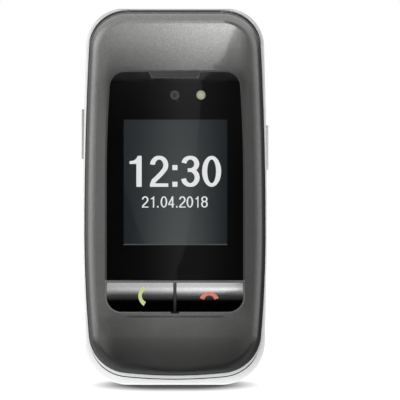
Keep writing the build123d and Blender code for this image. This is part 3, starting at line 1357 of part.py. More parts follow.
antenna_low = speaker_z + SPEAKER_RADIUS + ANTENNA_GAP
antenna_high = bay_top - ANTENNA_TOP_GAP
with BuildPart() as antenna_carrier:
    with BuildSketch(at_depth(seat)):
        with Locations((0, (antenna_low + antenna_high) / 2)):
            RectangleRounded(ANTENNA_WIDTH, antenna_high - antenna_low, ANTENNA_WALL)
    extrude(amount=-(upper_ceiling - BAY_PLAY - seat))
    with BuildSketch(at_depth(seat)):
        with Locations((0, (antenna_low + antenna_high) / 2)):
            Rectangle(ANTENNA_WIDTH - 2 * ANTENNA_WALL, antenna_high - antenna_low - 2 * ANTENNA_WALL)
    extrude(amount=-(upper_ceiling - BAY_PLAY - ANTENNA_WALL - seat), mode=Mode.SUBTRACT)
save(antenna_carrier, "antenna_carrier")

with BuildPart() as base_screws:
    with BuildSketch(at_depth(seat)):
        with Locations(*base_screw_points):
            Circle(SCREW_HEAD_RADIUS)
    extrude(amount=-SCREW_HEAD)
    with BuildSketch(at_depth(seat + SCREW_HEAD)):
        with Locations(*base_screw_points):
            RegularPolygon(SCREW_SOCKET_RADIUS, 6)
    extrude(amount=SCREW_SOCKET_DEPTH, mode=Mode.SUBTRACT)
    with BuildSketch(at_depth(seat)):
        with Locations(*base_screw_points):
            Circle(SCREW_RADIUS - FIT)
    extrude(amount=SCREW_LENGTH)
save(base_screws, "base_screws")

# ---- Base: SOS button -----------------------------------------------------------------
cap_back = back_at(sos_z) - SOS_SINK
cap_front = lip_back - SOS_LIP_THICKNESS
stem_front = board_back + SWITCH_HEIGHT + SOS_TRAVEL + FIT
with BuildPart() as sos_button:
    with BuildSketch(at_depth(cap_front)):
        with Locations((0, sos_z)):
            Circle(SOS_RADIUS)
    extrude(amount=-(cap_back - cap_front))
    with BuildSketch(at_depth(cap_front)):
        with Locations((0, sos_z)):
            Circle(SOS_RADIUS + SOS_LIP)
    extrude(amount=-(lip_back - cap_front))
    # finger dish: a ball of large radius pressed into the cap
    dish_half = SOS_RADIUS - SOS_RIM
    dish_depth = SOS_DISH_RADIUS - (SOS_DISH_RADIUS**2 - dish_half**2) ** 0.5
    with Locations((0, cap_back + SOS_DISH_RADIUS - dish_depth, sos_z)):
        Sphere(SOS_DISH_RADIUS, mode=Mode.SUBTRACT)
    with BuildSketch(at_depth(cap_front)):
        with Locations((0, sos_z)):
            Circle(SOS_STEM_RADIUS)
    extrude(amount=cap_front - stem_front)
    # collar that stops the stem at the plate
    with BuildSketch(at_depth(rear_plate_back + SOS_TRAVEL + 2 * FIT)):
        with Locations((0, sos_z)):
            Circle(SOS_STEM_RADIUS + SOS_COLLAR)
    extrude(amount=-SOS_COLLAR_THICKNESS)
save(sos_button, "sos_button")

# ---- Base: side keys and the switches of the side keys and of the SOS button ----------
for name, side, z, length, _ in side_keys:
    seat_x = key_seat(z, length)
    with BuildPart() as wall_key:
        with BuildSketch(across(side * seat_x)):
            with Locations((side_key_y, z)):
                RectangleRounded(SIDE_KEY_DEPTH, length, SIDE_KEY_CORNER)
        extrude(amount=side * (side_reach - seat_x))
        fillet(wall_key.edges().group_by(Axis.X)[-1 if side > 0 else 0], KEY_EDGE)
        with BuildSketch(across(side * seat_x)):
            with Locations((side_key_y, z)):
                Rectangle(SIDE_KEY_DEPTH, length + 2 * SIDE_KEY_FLANGE_REACH)
        extrude(amount=-side * SIDE_KEY_FLANGE)
    save(wall_key, name)

with BuildPart() as tact_switches:
    with BuildSketch(at_depth(board_back)):
        with Locations((0, sos_z)):
            Rectangle(SWITCH_SIZE, SWITCH_SIZE)
    extrude(amount=-SWITCH_HEIGHT)
    with BuildSketch(at_depth(board_back)):
        for _, side, z, length, offsets in side_keys:
            switch_reach = key_seat(z, length) - SIDE_KEY_FLANGE - SIDE_KEY_TRAVEL - FIT
            for offset in offsets:
                switch_x = side * (switch_reach - SIDE_SWITCH[0] / 2)
                with Locations((switch_x, z + offset * SIDE_SWITCH_PITCH)):
                    Rectangle(*SIDE_SWITCH)
    extrude(amount=-shield_height)
save(tact_switches, "tact_switches")
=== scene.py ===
"""Looks of the flip phone: materials, printed marks, lit displays, floor, lamps and camera."""

import json
import math

import bmesh
import bpy
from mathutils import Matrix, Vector
from mathutils.bvhtree import BVHTree


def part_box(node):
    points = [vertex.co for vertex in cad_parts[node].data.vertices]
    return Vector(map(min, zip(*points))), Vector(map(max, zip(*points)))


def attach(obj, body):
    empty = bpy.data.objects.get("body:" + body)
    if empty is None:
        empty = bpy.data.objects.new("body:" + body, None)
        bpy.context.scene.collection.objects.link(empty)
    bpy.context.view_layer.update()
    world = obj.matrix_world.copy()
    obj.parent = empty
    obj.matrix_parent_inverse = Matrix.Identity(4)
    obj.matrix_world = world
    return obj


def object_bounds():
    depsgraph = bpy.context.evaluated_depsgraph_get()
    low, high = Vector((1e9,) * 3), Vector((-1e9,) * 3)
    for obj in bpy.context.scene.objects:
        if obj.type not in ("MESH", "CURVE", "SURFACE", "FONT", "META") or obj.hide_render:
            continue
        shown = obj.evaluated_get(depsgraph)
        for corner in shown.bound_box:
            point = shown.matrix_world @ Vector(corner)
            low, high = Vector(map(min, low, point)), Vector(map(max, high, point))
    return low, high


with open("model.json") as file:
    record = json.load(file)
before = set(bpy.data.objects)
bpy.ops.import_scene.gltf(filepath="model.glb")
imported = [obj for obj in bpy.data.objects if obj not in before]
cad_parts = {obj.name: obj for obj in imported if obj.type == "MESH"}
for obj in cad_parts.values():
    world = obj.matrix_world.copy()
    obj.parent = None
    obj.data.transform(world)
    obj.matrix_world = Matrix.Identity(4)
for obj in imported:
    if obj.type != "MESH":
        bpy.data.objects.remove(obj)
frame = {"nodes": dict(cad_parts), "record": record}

MM = 0.001
CELL = 0.0825 * MM            # half the pitch of the outer screen's cells
nodes = frame["nodes"]
scene = bpy.context.scene
cad_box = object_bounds()


# ---------------- node trees


class Tree:
    """Short calls for building a node tree."""

    def __init__(self, tree):
        self.tree = tree

    def new(self, kind, links=None, **settings):
        node = self.tree.nodes.new(kind)
        for key, value in settings.items():
            setattr(node, key, value)
        for key, value in (links or {}).items():
            self.put(node.inputs[key], value)
        return node

    def put(self, socket, value):
        if isinstance(value, bpy.types.NodeSocket):
            self.tree.links.new(value, socket)
        else:
            socket.default_value = value

    def math(self, operation, a, b=0.0, c=0.0):
        return self.new("ShaderNodeMath", {0: a, 1: b, 2: c}, operation=operation).outputs[0]

    def times(self, a, b):
        return self.math("MULTIPLY", a, b)

    def plus(self, a, b):
        return self.math("ADD", a, b)

    def over(self, value, limit):
        """How far a value lies above a limit, or 0 below it."""
        return self.math("MAXIMUM", self.math("SUBTRACT", value, limit), 0.0)

    def line(self, value, slope, start):
        return self.math("MULTIPLY_ADD", value, slope, start)

    def ramp(self, value, low, high, out_low=0.0, out_high=1.0, smooth=True):
        kind = "SMOOTHSTEP" if smooth else "LINEAR"
        links = {"Value": value, "From Min": low, "From Max": high, "To Min": out_low, "To Max": out_high}
        return self.new("ShaderNodeMapRange", links, interpolation_type=kind, clamp=True).outputs["Result"]

    def mix(self, share, a, b):
        """Between a and b: a colour if either is given as one, else a number."""
        if isinstance(a, tuple) or isinstance(b, tuple):
            return self.new("ShaderNodeMix", {0: share, 6: a, 7: b}, data_type="RGBA").outputs[2]
        return self.new("ShaderNodeMix", {0: share, 2: a, 3: b}, data_type="FLOAT").outputs[0]

    def object_place(self):
        return self.new("ShaderNodeTexCoord").outputs["Object"]

    def split(self, vector):
        return self.new("ShaderNodeSeparateXYZ", {0: vector}).outputs

    def noise(self, place, scale, detail=2.0, roughness=0.5):
        links = {"Vector": place, "Scale": scale, "Detail": detail, "Roughness": roughness}
        return self.new("ShaderNodeTexNoise", links).outputs["Fac"]

    def scaled(self, vector, x, y, z):
        return self.new("ShaderNodeVectorMath", {0: vector, 1: (x, y, z)}, operation="MULTIPLY").outputs[0]

    def cells(self, place, scale):
        """A random number for each cell of a pattern of grains."""
        grain = self.new("ShaderNodeTexVoronoi", {"Vector": place, "Scale": scale}).outputs["Color"]
        return self.new("ShaderNodeSeparateColor", {0: grain}).outputs[0]

    def cell_lines(self, x, z, pitch, start, stop):
        """1 on the lines between the cells of a screen, 0 on the cells."""
        ways = [self.ramp(self.math("PINGPONG", way, pitch), start, stop) for way in (x, z)]
        return self.math("MAXIMUM", *ways)

    def within(self, value, middle, half):
        return self.math("LESS_THAN", self.math("ABSOLUTE", self.math("SUBTRACT", value, middle)), half)

    def patched_normal(self, place, centre, half):
        """The smooth normal, but the facet's own one in a rectangle where a long facet bends it."""
        x, _, z = self.split(place)
        inside = self.times(self.within(x, centre[0], half[0]), self.within(z, centre[1], half[1]))
        shape = self.new("ShaderNodeNewGeometry").outputs
        links = {0: inside, 4: shape["Normal"], 5: shape["True Normal"]}
        return self.new("ShaderNodeMix", links, data_type="VECTOR").outputs[1]

    def bump(self, height, distance, strength, normal=None):
        links = {"Height": height, "Distance": distance, "Strength": strength}
        if normal:
            links["Normal"] = normal
        return self.new("ShaderNodeBump", links).outputs[0]


def grey(value):
    return (value, value, value, 1.0)


def material(name):
    """A new material, its tree and its Principled shader."""
    made = bpy.data.materials.new(name)
    made.use_nodes = True
    return made, Tree(made.node_tree), made.node_tree.nodes["Principled BSDF"]


def finish_of(shader, tree, **sockets):
    """Sets the shader's sockets, given with _ for each space."""
    for name, value in sockets.items():
        tree.put(shader.inputs[name.replace("_", " ")], value)


def middle_of(node):
    return tuple((low + high) / 2 for low, high in zip(*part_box(node)))


# ---------------- materials

FACET_MIDDLE, FACET_HALF = (-12.35 * MM, 90.3 * MM), (2.3 * MM, 0.8 * MM)     # long facet above the window


def lacquer_material():
    """Dark graphite metallic lacquer: fine flakes under a clear gloss coat."""
    made, tree, shader = material("dark_lacquer")
    place = tree.object_place()
    flake = tree.math("POWER", tree.cells(place, 9500.0), 3.0)
    cloud = tree.noise(place, 60.0, 3.0)
    share = tree.line(cloud, 0.25, flake)
    tone = tree.mix(share, (0.105, 0.105, 0.103, 1), (0.19, 0.19, 0.186, 1))
    rough = tree.line(tree.noise(place, 5200.0, 2.0), 0.03, 0.035)
    smooth = tree.patched_normal(place, FACET_MIDDLE, FACET_HALF)
    finish_of(shader, tree, Base_Color=tone, Metallic=0.96, Roughness=rough, Coat_Weight=0.5,
              Coat_Roughness=0.02, Coat_IOR=1.5, Normal=tree.bump(flake, 0.000002, 0.08, smooth))
    return made


def white_material():
    """Glossy white moulded plastic."""
    made, tree, shader = material("white_gloss")
    place = tree.object_place()
    tone = tree.mix(tree.noise(place, 90.0, 4.0), (0.62, 0.625, 0.63, 1), (0.68, 0.685, 0.69, 1))
    rough = tree.line(tree.noise(place, 2400.0, 3.0), 0.10, 0.14)
    ripple = tree.noise(place, 700.0, 2.0)
    finish_of(shader, tree, Base_Color=tone, Roughness=rough, Coat_Weight=0.4, Coat_Roughness=0.05,
              Normal=tree.bump(ripple, 0.000004, 0.3))
    return made


def glass_material(name, tint):
    """Clear hard-coated window that lets the lamps through to what lies behind it."""
    made, tree, shader = material(name)
    place = tree.object_place()
    smear = tree.ramp(tree.noise(place, 120.0, 5.0, 0.6), 0.45, 0.75, 0.0, 0.035)
    colour = tree.mix(tree.noise(place, 30.0), tint, (0.97, 0.98, 0.98, 1))
    finish_of(shader, tree, Base_Color=colour, Roughness=smear, Transmission_Weight=1.0, IOR=1.5)
    out = made.node_tree.nodes["Material Output"]
    shadow = tree.new("ShaderNodeLightPath").outputs["Is Shadow Ray"]
    clear = tree.new("ShaderNodeBsdfTransparent", {"Color": grey(0.93)}).outputs[0]
    both = tree.new("ShaderNodeMixShader", {0: shadow, 1: shader.outputs[0], 2: clear})
    tree.put(out.inputs["Surface"], both.outputs[0])
    return made


def silver_material():
    """Satin silver plating of the window frame, with painted shade above the crossbar and a painted
    reflection on the divider between the keys, dark below and lighter towards the crossbar.
    """
    made, tree, shader = material("silver")
    place = tree.object_place()
    x, _, z = tree.split(place)
    grain = tree.noise(tree.scaled(place, 0.15, 1.0, 1.0), 6000.0, 3.0)
    tone = tree.mix(grain, (0.17, 0.17, 0.173, 1), (0.26, 0.26, 0.263, 1))
    key_low, bar_low = (corner.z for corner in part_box("call_key"))
    # painted shade: the frame is darker above the crossbar than on it
    painted_shade_above = tree.ramp(z, bar_low + 0.4 * MM, bar_low + 0.9 * MM)
    tone = tree.mix(painted_shade_above, tone, (0.085, 0.085, 0.087, 1))
    divider = tree.times(tree.ramp(tree.math("ABSOLUTE", x), 1.0 * MM, 1.4 * MM, 1.0, 0.0),
                        tree.ramp(z, bar_low - 0.2 * MM, bar_low, 1.0, 0.0))
    divider = tree.times(divider, tree.ramp(z, key_low, key_low + 0.3 * MM))
    # painted reflection on the divider: dark at the keys' lower edge, lighter towards the crossbar
    shade = tree.mix(tree.ramp(z, key_low, bar_low), (0.018, 0.018, 0.019, 1), (0.10, 0.10, 0.102, 1))
    tone = tree.mix(divider, tone, shade)
    rough = tree.line(grain, 0.10, 0.18)
    finish_of(shader, tree, Base_Color=tone, Metallic=1.0, Roughness=rough,
              Normal=tree.bump(grain, 0.000002, 0.3))
    return made


def black_key_material():
    """Lid keys: black gloss with a painted reflection, metallic grey at the upper edge and fading into black
    below.
    """
    made, tree, shader = material("black_gloss")
    place = tree.object_place()
    z = tree.split(place)[2]
    low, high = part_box("call_key")
    tall = high.z - low.z
    # painted reflection: the upper part of each key is metallic grey, the lower part black
    painted_reflection_fade = tree.ramp(z, low.z + 0.42 * tall, low.z + 0.78 * tall)
    tone = tree.mix(tree.cells(place, 12000.0), (0.20, 0.20, 0.202, 1), (0.30, 0.30, 0.303, 1))
    tone = tree.mix(painted_reflection_fade, (0.003, 0.003, 0.003, 1), tone)
    rough = tree.line(tree.noise(place, 900.0, 3.0), 0.05, 0.07)
    finish_of(shader, tree, Base_Color=tone, Metallic=1.0, Roughness=rough)
    return made


def moulded_material(name, dark, light, rough, grain=1800.0, depth=0.000006, coat=0.0):
    """Moulded plastic or rubber with a fine spark-eroded grain."""
    made, tree, shader = material(name)
    place = tree.object_place()
    speck = tree.noise(place, grain, 4.0, 0.6)
    tone = tree.mix(speck, dark, light)
    finish_of(shader, tree, Base_Color=tone, Roughness=tree.line(speck, 0.18, rough - 0.09),
              Coat_Weight=coat, Coat_Roughness=0.08, Normal=tree.bump(speck, depth, 0.5))
    return made


def metal_material(name, dark, light, rough, stretch=(1.0, 1.0, 0.08), scale=7000.0):
    """Rolled or turned metal with fine drawn lines."""
    made, tree, shader = material(name)
    grain = tree.noise(tree.scaled(tree.object_place(), *stretch), scale, 3.0)
    finish_of(shader, tree, Base_Color=tree.mix(grain, dark, light), Metallic=1.0,
              Roughness=tree.line(grain, 0.16, rough), Normal=tree.bump(grain, 0.000002, 0.4))
    return made


def board_material():
    """Green solder mask with copper traces and plated holes showing through."""
    made, tree, shader = material("circuit_board")
    place = tree.object_place()
    x, _, z = tree.split(place)
    shift = tree.times(tree.math("SNAP", z, 0.004), 0.37)
    trace = tree.ramp(tree.math("PINGPONG", tree.plus(x, shift), 0.0005), 0.00016, 0.00024)
    hole = tree.ramp(tree.new("ShaderNodeTexVoronoi", {"Vector": place, "Scale": 420.0}).outputs["Distance"],
                     0.10, 0.14, 1.0, 0.0)
    green = tree.mix(trace, (0.012, 0.085, 0.035, 1), (0.022, 0.16, 0.062, 1))
    tone = tree.mix(hole, green, (0.55, 0.47, 0.30, 1))
    finish_of(shader, tree, Base_Color=tone, Roughness=tree.line(trace, -0.08, 0.42),
              Normal=tree.bump(trace, 0.00003, 0.5))
    return made


def flex_material():
    """Amber polyimide film over parallel copper tracks."""
    made, tree, shader = material("flex")
    x = tree.split(tree.object_place())[0]
    track = tree.ramp(tree.math("PINGPONG", x, 0.00022), 0.00008, 0.00012)
    tone = tree.mix(track, (0.42, 0.16, 0.02, 1), (0.72, 0.36, 0.07, 1))
    finish_of(shader, tree, Base_Color=tone, Roughness=tree.line(track, 0.1, 0.25))
    return made


def film_material():
    """Milky film that holds the metal domes."""
    made, tree, shader = material("dome_film")
    place = tree.object_place()
    haze = tree.noise(place, 500.0, 4.0)
    tone = tree.mix(haze, (0.56, 0.56, 0.53, 1), (0.74, 0.74, 0.71, 1))
    rough = tree.line(haze, 0.2, 0.3)
    finish_of(shader, tree, Base_Color=tone, Roughness=rough, Coat_Weight=0.3)
    return made


def display_material(name):
    """Dark glossy face of a switched-on panel, with its grid of cells."""
    made, tree, shader = material(name)
    x, _, z = tree.split(tree.object_place())
    grid = tree.cell_lines(x, z, CELL, 0.06 * MM, 0.08 * MM)
    tone = tree.mix(grid, (0.012, 0.013, 0.015, 1), (0.006, 0.006, 0.007, 1))
    finish_of(shader, tree, Base_Color=tone, Roughness=tree.line(grid, 0.1, 0.25))
    return made


def flash_material():
    """Frosted yellowish lens over the flash, with a painted glow: it gives a faint light of its own."""
    made, tree, shader = material("flash_lens")
    links = {0: tree.object_place(), 1: middle_of("flash_led")}
    away = tree.new("ShaderNodeVectorMath", links, operation="SUBTRACT").outputs[0]
    flat = tree.scaled(away, 1.0, 0.0, 1.0)
    far = tree.new("ShaderNodeVectorMath", {0: flat}, operation="LENGTH").outputs["Value"]
    rings = tree.ramp(tree.math("PINGPONG", far, 0.00012), 0.00003, 0.00011)
    core = tree.ramp(far, 0.0002, 0.0012, 0.0, 1.0)
    tone = tree.mix(core, (0.52, 0.54, 0.33, 1), (0.38, 0.40, 0.265, 1))
    # painted glow: the unlit flash lens gives light of its own
    finish_of(shader, tree, Base_Color=tone, Roughness=tree.line(rings, 0.1, 0.3),
              Emission_Color=tone, Emission_Strength=0.12, Normal=tree.bump(rings, 0.00004, 0.6))
    return made


LACQUER = lacquer_material()
WHITE = white_material()
GLASS = glass_material("window_glass", (0.93, 0.95, 0.96, 1))
SILVER = silver_material()
KEY_BLACK = black_key_material()
SIGNAL = moulded_material("signal_bar", (0.016, 0.016, 0.017, 1), (0.028, 0.028, 0.030, 1), 0.42)
KEYPAD = moulded_material("keypad", (0.018, 0.018, 0.020, 1), (0.030, 0.030, 0.033, 1), 0.42, coat=0.15)
SIDE_DARK = moulded_material("side_key_dark", (0.27, 0.27, 0.275, 1), (0.35, 0.35, 0.355, 1), 0.30, coat=0.3)
SIDE_GREY = moulded_material("side_key_grey", (0.58, 0.59, 0.60, 1), (0.66, 0.67, 0.68, 1), 0.30, coat=0.3)
SOS_BLACK = moulded_material("sos_black", (0.022, 0.022, 0.023, 1), (0.034, 0.034, 0.035, 1), 0.24,
                             2600.0, 0.000003, 0.6)
BLACK = moulded_material("black_plastic", (0.018, 0.018, 0.018, 1), (0.032, 0.032, 0.032, 1), 0.55)
RUBBER = moulded_material("rubber", (0.42, 0.42, 0.42, 1), (0.52, 0.52, 0.52, 1), 0.72, 1200.0, 0.00001)
WRAP = moulded_material("battery", (0.035, 0.036, 0.042, 1), (0.055, 0.056, 0.064, 1), 0.38,
                        900.0, 0.000008, 0.2)
STEEL = metal_material("steel", (0.42, 0.42, 0.43, 1), (0.60, 0.60, 0.61, 1), 0.24)
ALLOY = metal_material("light_alloy", (0.50, 0.50, 0.51, 1), (0.64, 0.64, 0.65, 1), 0.36,
                       (0.1, 1.0, 1.0), 4000.0)

BY_SLOT = {
    "dark_lacquer": LACQUER, "lacquered_metal": LACQUER, "lacquered_alloy": LACQUER, "white_gloss": WHITE,
    "window_glass": GLASS, "silver": SILVER, "signal_bar": SIGNAL, "display": display_material("display"),
    "black_gloss": KEY_BLACK, "keypad": KEYPAD, "side_key_dark": SIDE_DARK, "side_key_grey": SIDE_GREY,
    "circuit_board": board_material(), "steel": STEEL, "light_alloy": ALLOY, "black_plastic": BLACK,
    "battery": WRAP, "rubber": RUBBER, "flex": flex_material(), "dome_film": film_material(),
    "flash_lens": flash_material(),
}
BY_NODE = {"sos_button": SOS_BLACK}

for part in frame["record"]["subparts"]:
    mesh = nodes[part["node"]].data
    mesh.materials.clear()
    mesh.materials.append(BY_NODE.get(part["node"], BY_SLOT[part["material_slot"]]))


# ---------------- making pieces

# printed marks: height above the part, depth in it, longest edge
MARK_THICK, MARK_SUNK, MARK_EDGE = 0.02 * MM, 0.01 * MM, 0.5 * MM
CRESCENT_STEPS, CRESCENT_SWELL = 28, 0.35      # the swell is the extra width at the ends
TURNED_SIDES = 72


def add_piece(name, mesh, surface, body):
    """Links a mesh as a piece of the model."""
    piece = bpy.data.objects.new(name, mesh)
    scene.collection.objects.link(piece)
    mesh.materials.clear()
    mesh.materials.append(surface)
    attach(piece, body)


def mesh_of(name, bm):
    mesh = bpy.data.meshes.new(name)
    bm.to_mesh(mesh)
    bm.free()
    return mesh


def filled(name, loops):
    """The flat mesh inside closed loops of (u, v) points; inner loops are openings."""
    curve = bpy.data.curves.new(name, "CURVE")
    curve.dimensions = "2D"
    curve.fill_mode = "BOTH"
    for loop in loops:
        spline = curve.splines.new("POLY")
        spline.points.add(len(loop) - 1)
        for point, (u, v) in zip(spline.points, loop):
            point.co = (u, v, 0.0, 1.0)
        spline.use_cyclic_u = True
    holder = bpy.data.objects.new(name, curve)
    scene.collection.objects.link(holder)
    bpy.context.view_layer.update()
    flat = bpy.data.meshes.new_from_object(holder.evaluated_get(bpy.context.evaluated_depsgraph_get()))
    bpy.data.objects.remove(holder)
    bpy.data.curves.remove(curve)
    flat.name = name
    return flat


def refine(bm, longest):
    """Halves the edges longer than that, up to six times."""
    for _ in range(6):
        far = [e for e in bm.edges if e.calc_length() > longest]
        if not far:
            break
        bmesh.ops.subdivide_edges(bm, edges=far, cuts=1)
        bmesh.ops.triangulate(bm, faces=[f for f in bm.faces if len(f.verts) > 3])


def thicken(name, shape, surface_y, thickness, up, longest=None):
    """Stands flat loops or a flat mesh on a surface y(x, z), with the top one thickness out.

    up is -1 for a surface that faces -Y and 1 for one that faces +Y."""
    flat = filled(name, shape) if isinstance(shape, list) else shape
    bm = bmesh.new()
    bm.from_mesh(flat)
    bmesh.ops.remove_doubles(bm, verts=bm.verts, dist=1e-7)
    bmesh.ops.triangulate(bm, faces=bm.faces)
    if longest:
        refine(bm, longest)
    grown = bmesh.ops.extrude_face_region(bm, geom=list(bm.faces), use_keep_orig=True)
    raised = {g for g in grown["geom"] if isinstance(g, bmesh.types.BMVert)}
    for vert in bm.verts:
        x, z = vert.co.x, vert.co.y
        lift = thickness if vert in raised else 0.0
        vert.co = (x, surface_y(x, z) + up * lift, z)
    bmesh.ops.recalc_face_normals(bm, faces=bm.faces)
    bm.to_mesh(flat)
    bm.free()
    return flat


def skin(node):
    """A node's surface, for rays to hit."""
    mesh = nodes[node].data
    return BVHTree.FromPolygons([v.co.copy() for v in mesh.vertices],
                                [list(p.vertices) for p in mesh.polygons])


def on_node(node, up, sink):
    """The surface y(x, z) of a CAD node, seen from -Y (up -1) or from +Y (up 1)."""
    low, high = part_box(node)
    tree = skin(node)
    start = high.y + 0.01 if up > 0 else low.y - 0.01

    def surface(x, z):
        hit = tree.ray_cast(Vector((x, start, z)), Vector((0, -up, 0)))[0]
        return (hit.y if hit else (high.y if up > 0 else low.y)) - up * sink

    return surface


def printed(name, shape, node, surface, up=-1):
    """A printed mark that follows the surface of the key it is printed on, sunk a little into it."""
    mesh = thicken(name, shape, on_node(node, up, MARK_SUNK), MARK_THICK + MARK_SUNK, up, MARK_EDGE)
    add_piece(name, mesh, surface, node)


def circle(x, z, radius, count=64, start=0.0):
    return [(x + radius * math.cos(t), z + radius * math.sin(t)) for t in
            (start + 2 * math.pi * i / count for i in range(count))]


def rounded(x0, x1, z0, z1, radius, count=10):
    loop = []
    for cx, cz, start in ((x1 - radius, z1 - radius, 0.0), (x0 + radius, z1 - radius, 90.0),
                          (x0 + radius, z0 + radius, 180.0), (x1 - radius, z0 + radius, 270.0)):
        for i in range(count + 1):
            t = math.radians(start + 90.0 * i / count)
            loop.append((cx + radius * math.cos(t), cz + radius * math.sin(t)))
    return loop


def crescent(x, z, radius, middle, half_angle, width):
    """A handset mark: an arc whose middle points in the direction `middle`, thicker at its ends."""
    outer, inner = [], []
    for i in range(CRESCENT_STEPS + 1):
        s = -1 + 2 * i / CRESCENT_STEPS
        t = math.radians(middle + half_angle * s)
        w = width * (0.5 + CRESCENT_SWELL * abs(s) ** 2.5 * 0.5)
        outer.append((x + (radius + w) * math.cos(t), z + (radius + w) * math.sin(t)))
        inner.append((x + (radius - w) * math.cos(t), z + (radius - w) * math.sin(t)))
    return outer + inner[::-1]


# widths of the signs for a height of 1
GLYPH_WIDTH = {"1": 0.393, ":": 0.164, ".": 0.145, "*": 0.56, "#": 0.66}
DIGIT_WIDTH = 0.6      # of the signs not listed
WAIST = 0.54           # height of the middle bar of 3 and 8
THIN = 0.72            # width of a level stroke, as a share of an upright one
SIGN_GAP = 0.12        # between two signs


def arc(x, z, rx, rz, start, stop, count=26):
    return [(x + rx * math.cos(t), z + rz * math.sin(t)) for t in
            (math.radians(start + (stop - start) * i / count) for i in range(count + 1))]


def stroke(points, pen):
    """The outline of a pen stroke along a line of points; level stretches are thinner."""
    left, right = [], []
    for i, (x, z) in enumerate(points):
        way = Vector(points[min(i + 1, len(points) - 1)]) - Vector(points[max(i - 1, 0)])
        way.normalize()
        half = pen / 2 * (THIN + (1 - THIN) * abs(way.y))
        left.append((x - way.y * half, z + way.x * half))
        right.append((x + way.y * half, z - way.x * half))
    return left + right[::-1]


def bar(x0, x1, z0, z1):
    return [(x0, z0), (x1, z0), (x1, z1), (x0, z1)]


def glyph(sign, pen):
    """A digit or sign as groups of loops in a cell one high; loops after a group's first are openings."""
    wide = DIGIT_WIDTH
    mid, half, flat = wide / 2, pen / 2, THIN * pen / 2
    reach = mid - half                      # from the middle to the centre line of a bowl
    upper = ((WAIST + 1 - flat) / 2, (1 - flat - WAIST) / 2)
    lower = ((WAIST + flat) / 2, (WAIST - flat) / 2)

    def ring(z, rx, rz):
        return [arc(mid, z, rx + side, rz + rise, 0, turn, 44)
                for side, rise, turn in ((half, flat, 352), (-half, -flat, -352))]

    if sign == "0":
        return [ring(0.5, reach, 0.5 - flat)]
    if sign == "1":
        wide = GLYPH_WIDTH["1"]
        stem = wide - 1.05 * pen
        flag = [(stem + 0.25 * pen, 1), (stem + 0.05 * pen, 0.925), (0.16, 0.862), (0.08, 0.835), (0, 0.83)]
        return [[[(stem, 0), (wide, 0), (wide, 1)] + flag + [(0, 0.74), (stem, 0.74)]]]
    if sign == "2":
        bowl = arc(mid, 0.70, reach, 0.30 - flat, 176, -32)
        tail = [(0.62 * wide, 0.43), (0.40 * wide, 0.30), (0.20 * wide, 0.19), (half, 0.06)]
        return [[stroke(bowl + tail, pen)], [bar(0, wide, 0, 1.9 * flat)]]
    if sign == "3":
        top = arc(mid, upper[0], 0.94 * reach, upper[1], 172, -90) + [(0.36 * wide, WAIST)]
        foot = [(0.36 * wide, WAIST)] + arc(mid, lower[0], reach, lower[1], 90, -172)
        return [[stroke(top, pen)], [stroke(foot, pen)]]
    if sign == "4":
        slope = stroke([(0.06, 0.30), (0.42, 0.95)], 0.9 * pen)
        return [[bar(0.50 - pen, 0.50, 0, 1)], [bar(0, wide, 0.22, 0.22 + 2 * flat)], [slope]]
    if sign == "5":
        bowl = arc(mid - 0.01, 0.33, reach, 0.33 - flat, 146, -168)
        return [[bar(0.11, 0.55, 1 - 2 * flat, 1)], [stroke([(0.155, 0.97), (0.10, 0.48)], 0.9 * pen)],
                [stroke(bowl, pen)]]
    if sign == "6":
        return [ring(0.32, reach, 0.32 - flat), [stroke(arc(mid, 0.5, reach, 0.5 - flat, 28, 190), pen)]]
    if sign == "7":
        leg = [(wide - 0.6 * half, 0.95), (0.40, 0.68), (0.28, 0.38), (0.22, 0.0)]
        return [[bar(0, wide, 1 - 2 * flat, 1)], [stroke(leg, pen)]]
    if sign == "8":
        return [ring(upper[0], 0.92 * reach, upper[1]), ring(lower[0], reach, lower[1])]
    if sign == "9":
        return [[[(wide - x, 1 - z) for x, z in loop] for loop in group] for group in glyph("6", pen)]
    if sign == "*":
        return [[stroke([(0.28 - 0.26 * math.cos(t), 0.55 - 0.26 * math.sin(t)),
                         (0.28 + 0.26 * math.cos(t), 0.55 + 0.26 * math.sin(t))], pen)]
                for t in (math.pi / 2, math.pi / 6, -math.pi / 6)]
    if sign == "#":
        return [[stroke([(x, 0.10), (x + 0.12, 0.90)], pen)] for x in (0.14, 0.40)] \
            + [[bar(0, 0.66, z, z + 1.6 * flat)] for z in (0.28, 0.62)]
    side = GLYPH_WIDTH[sign]
    return [[bar(0, side, 0, side)]] + ([[bar(0, side, WAIST, WAIST + side)]] if sign == ":" else [])


def word(name, signs, z0, z1, pen, mirrored=False):
    """A flat mesh of signs, each given as (sign, left, right), between two heights."""
    joined = bmesh.new()
    for sign, left, right in signs:
        scale = (right - left) / GLYPH_WIDTH.get(sign, DIGIT_WIDTH)
        for group in glyph(sign, pen):
            loops = [[(left + x * scale, (1 - z if mirrored else z) * (z1 - z0) + z0) for x, z in loop]
                     for loop in group]
            part = filled(name, loops)
            joined.from_mesh(part)
            bpy.data.meshes.remove(part)
    return mesh_of(name, joined)


def spread(text, left, right):
    """Places for the signs of a text between left and right."""
    widths = [GLYPH_WIDTH.get(sign, DIGIT_WIDTH) for sign in text]
    scale = (right - left) / (sum(widths) + SIGN_GAP * (len(text) - 1))
    places, at = [], left
    for sign, width in zip(text, widths):
        places.append((sign, at, at + width * scale))
        at += (width + SIGN_GAP) * scale
    return places


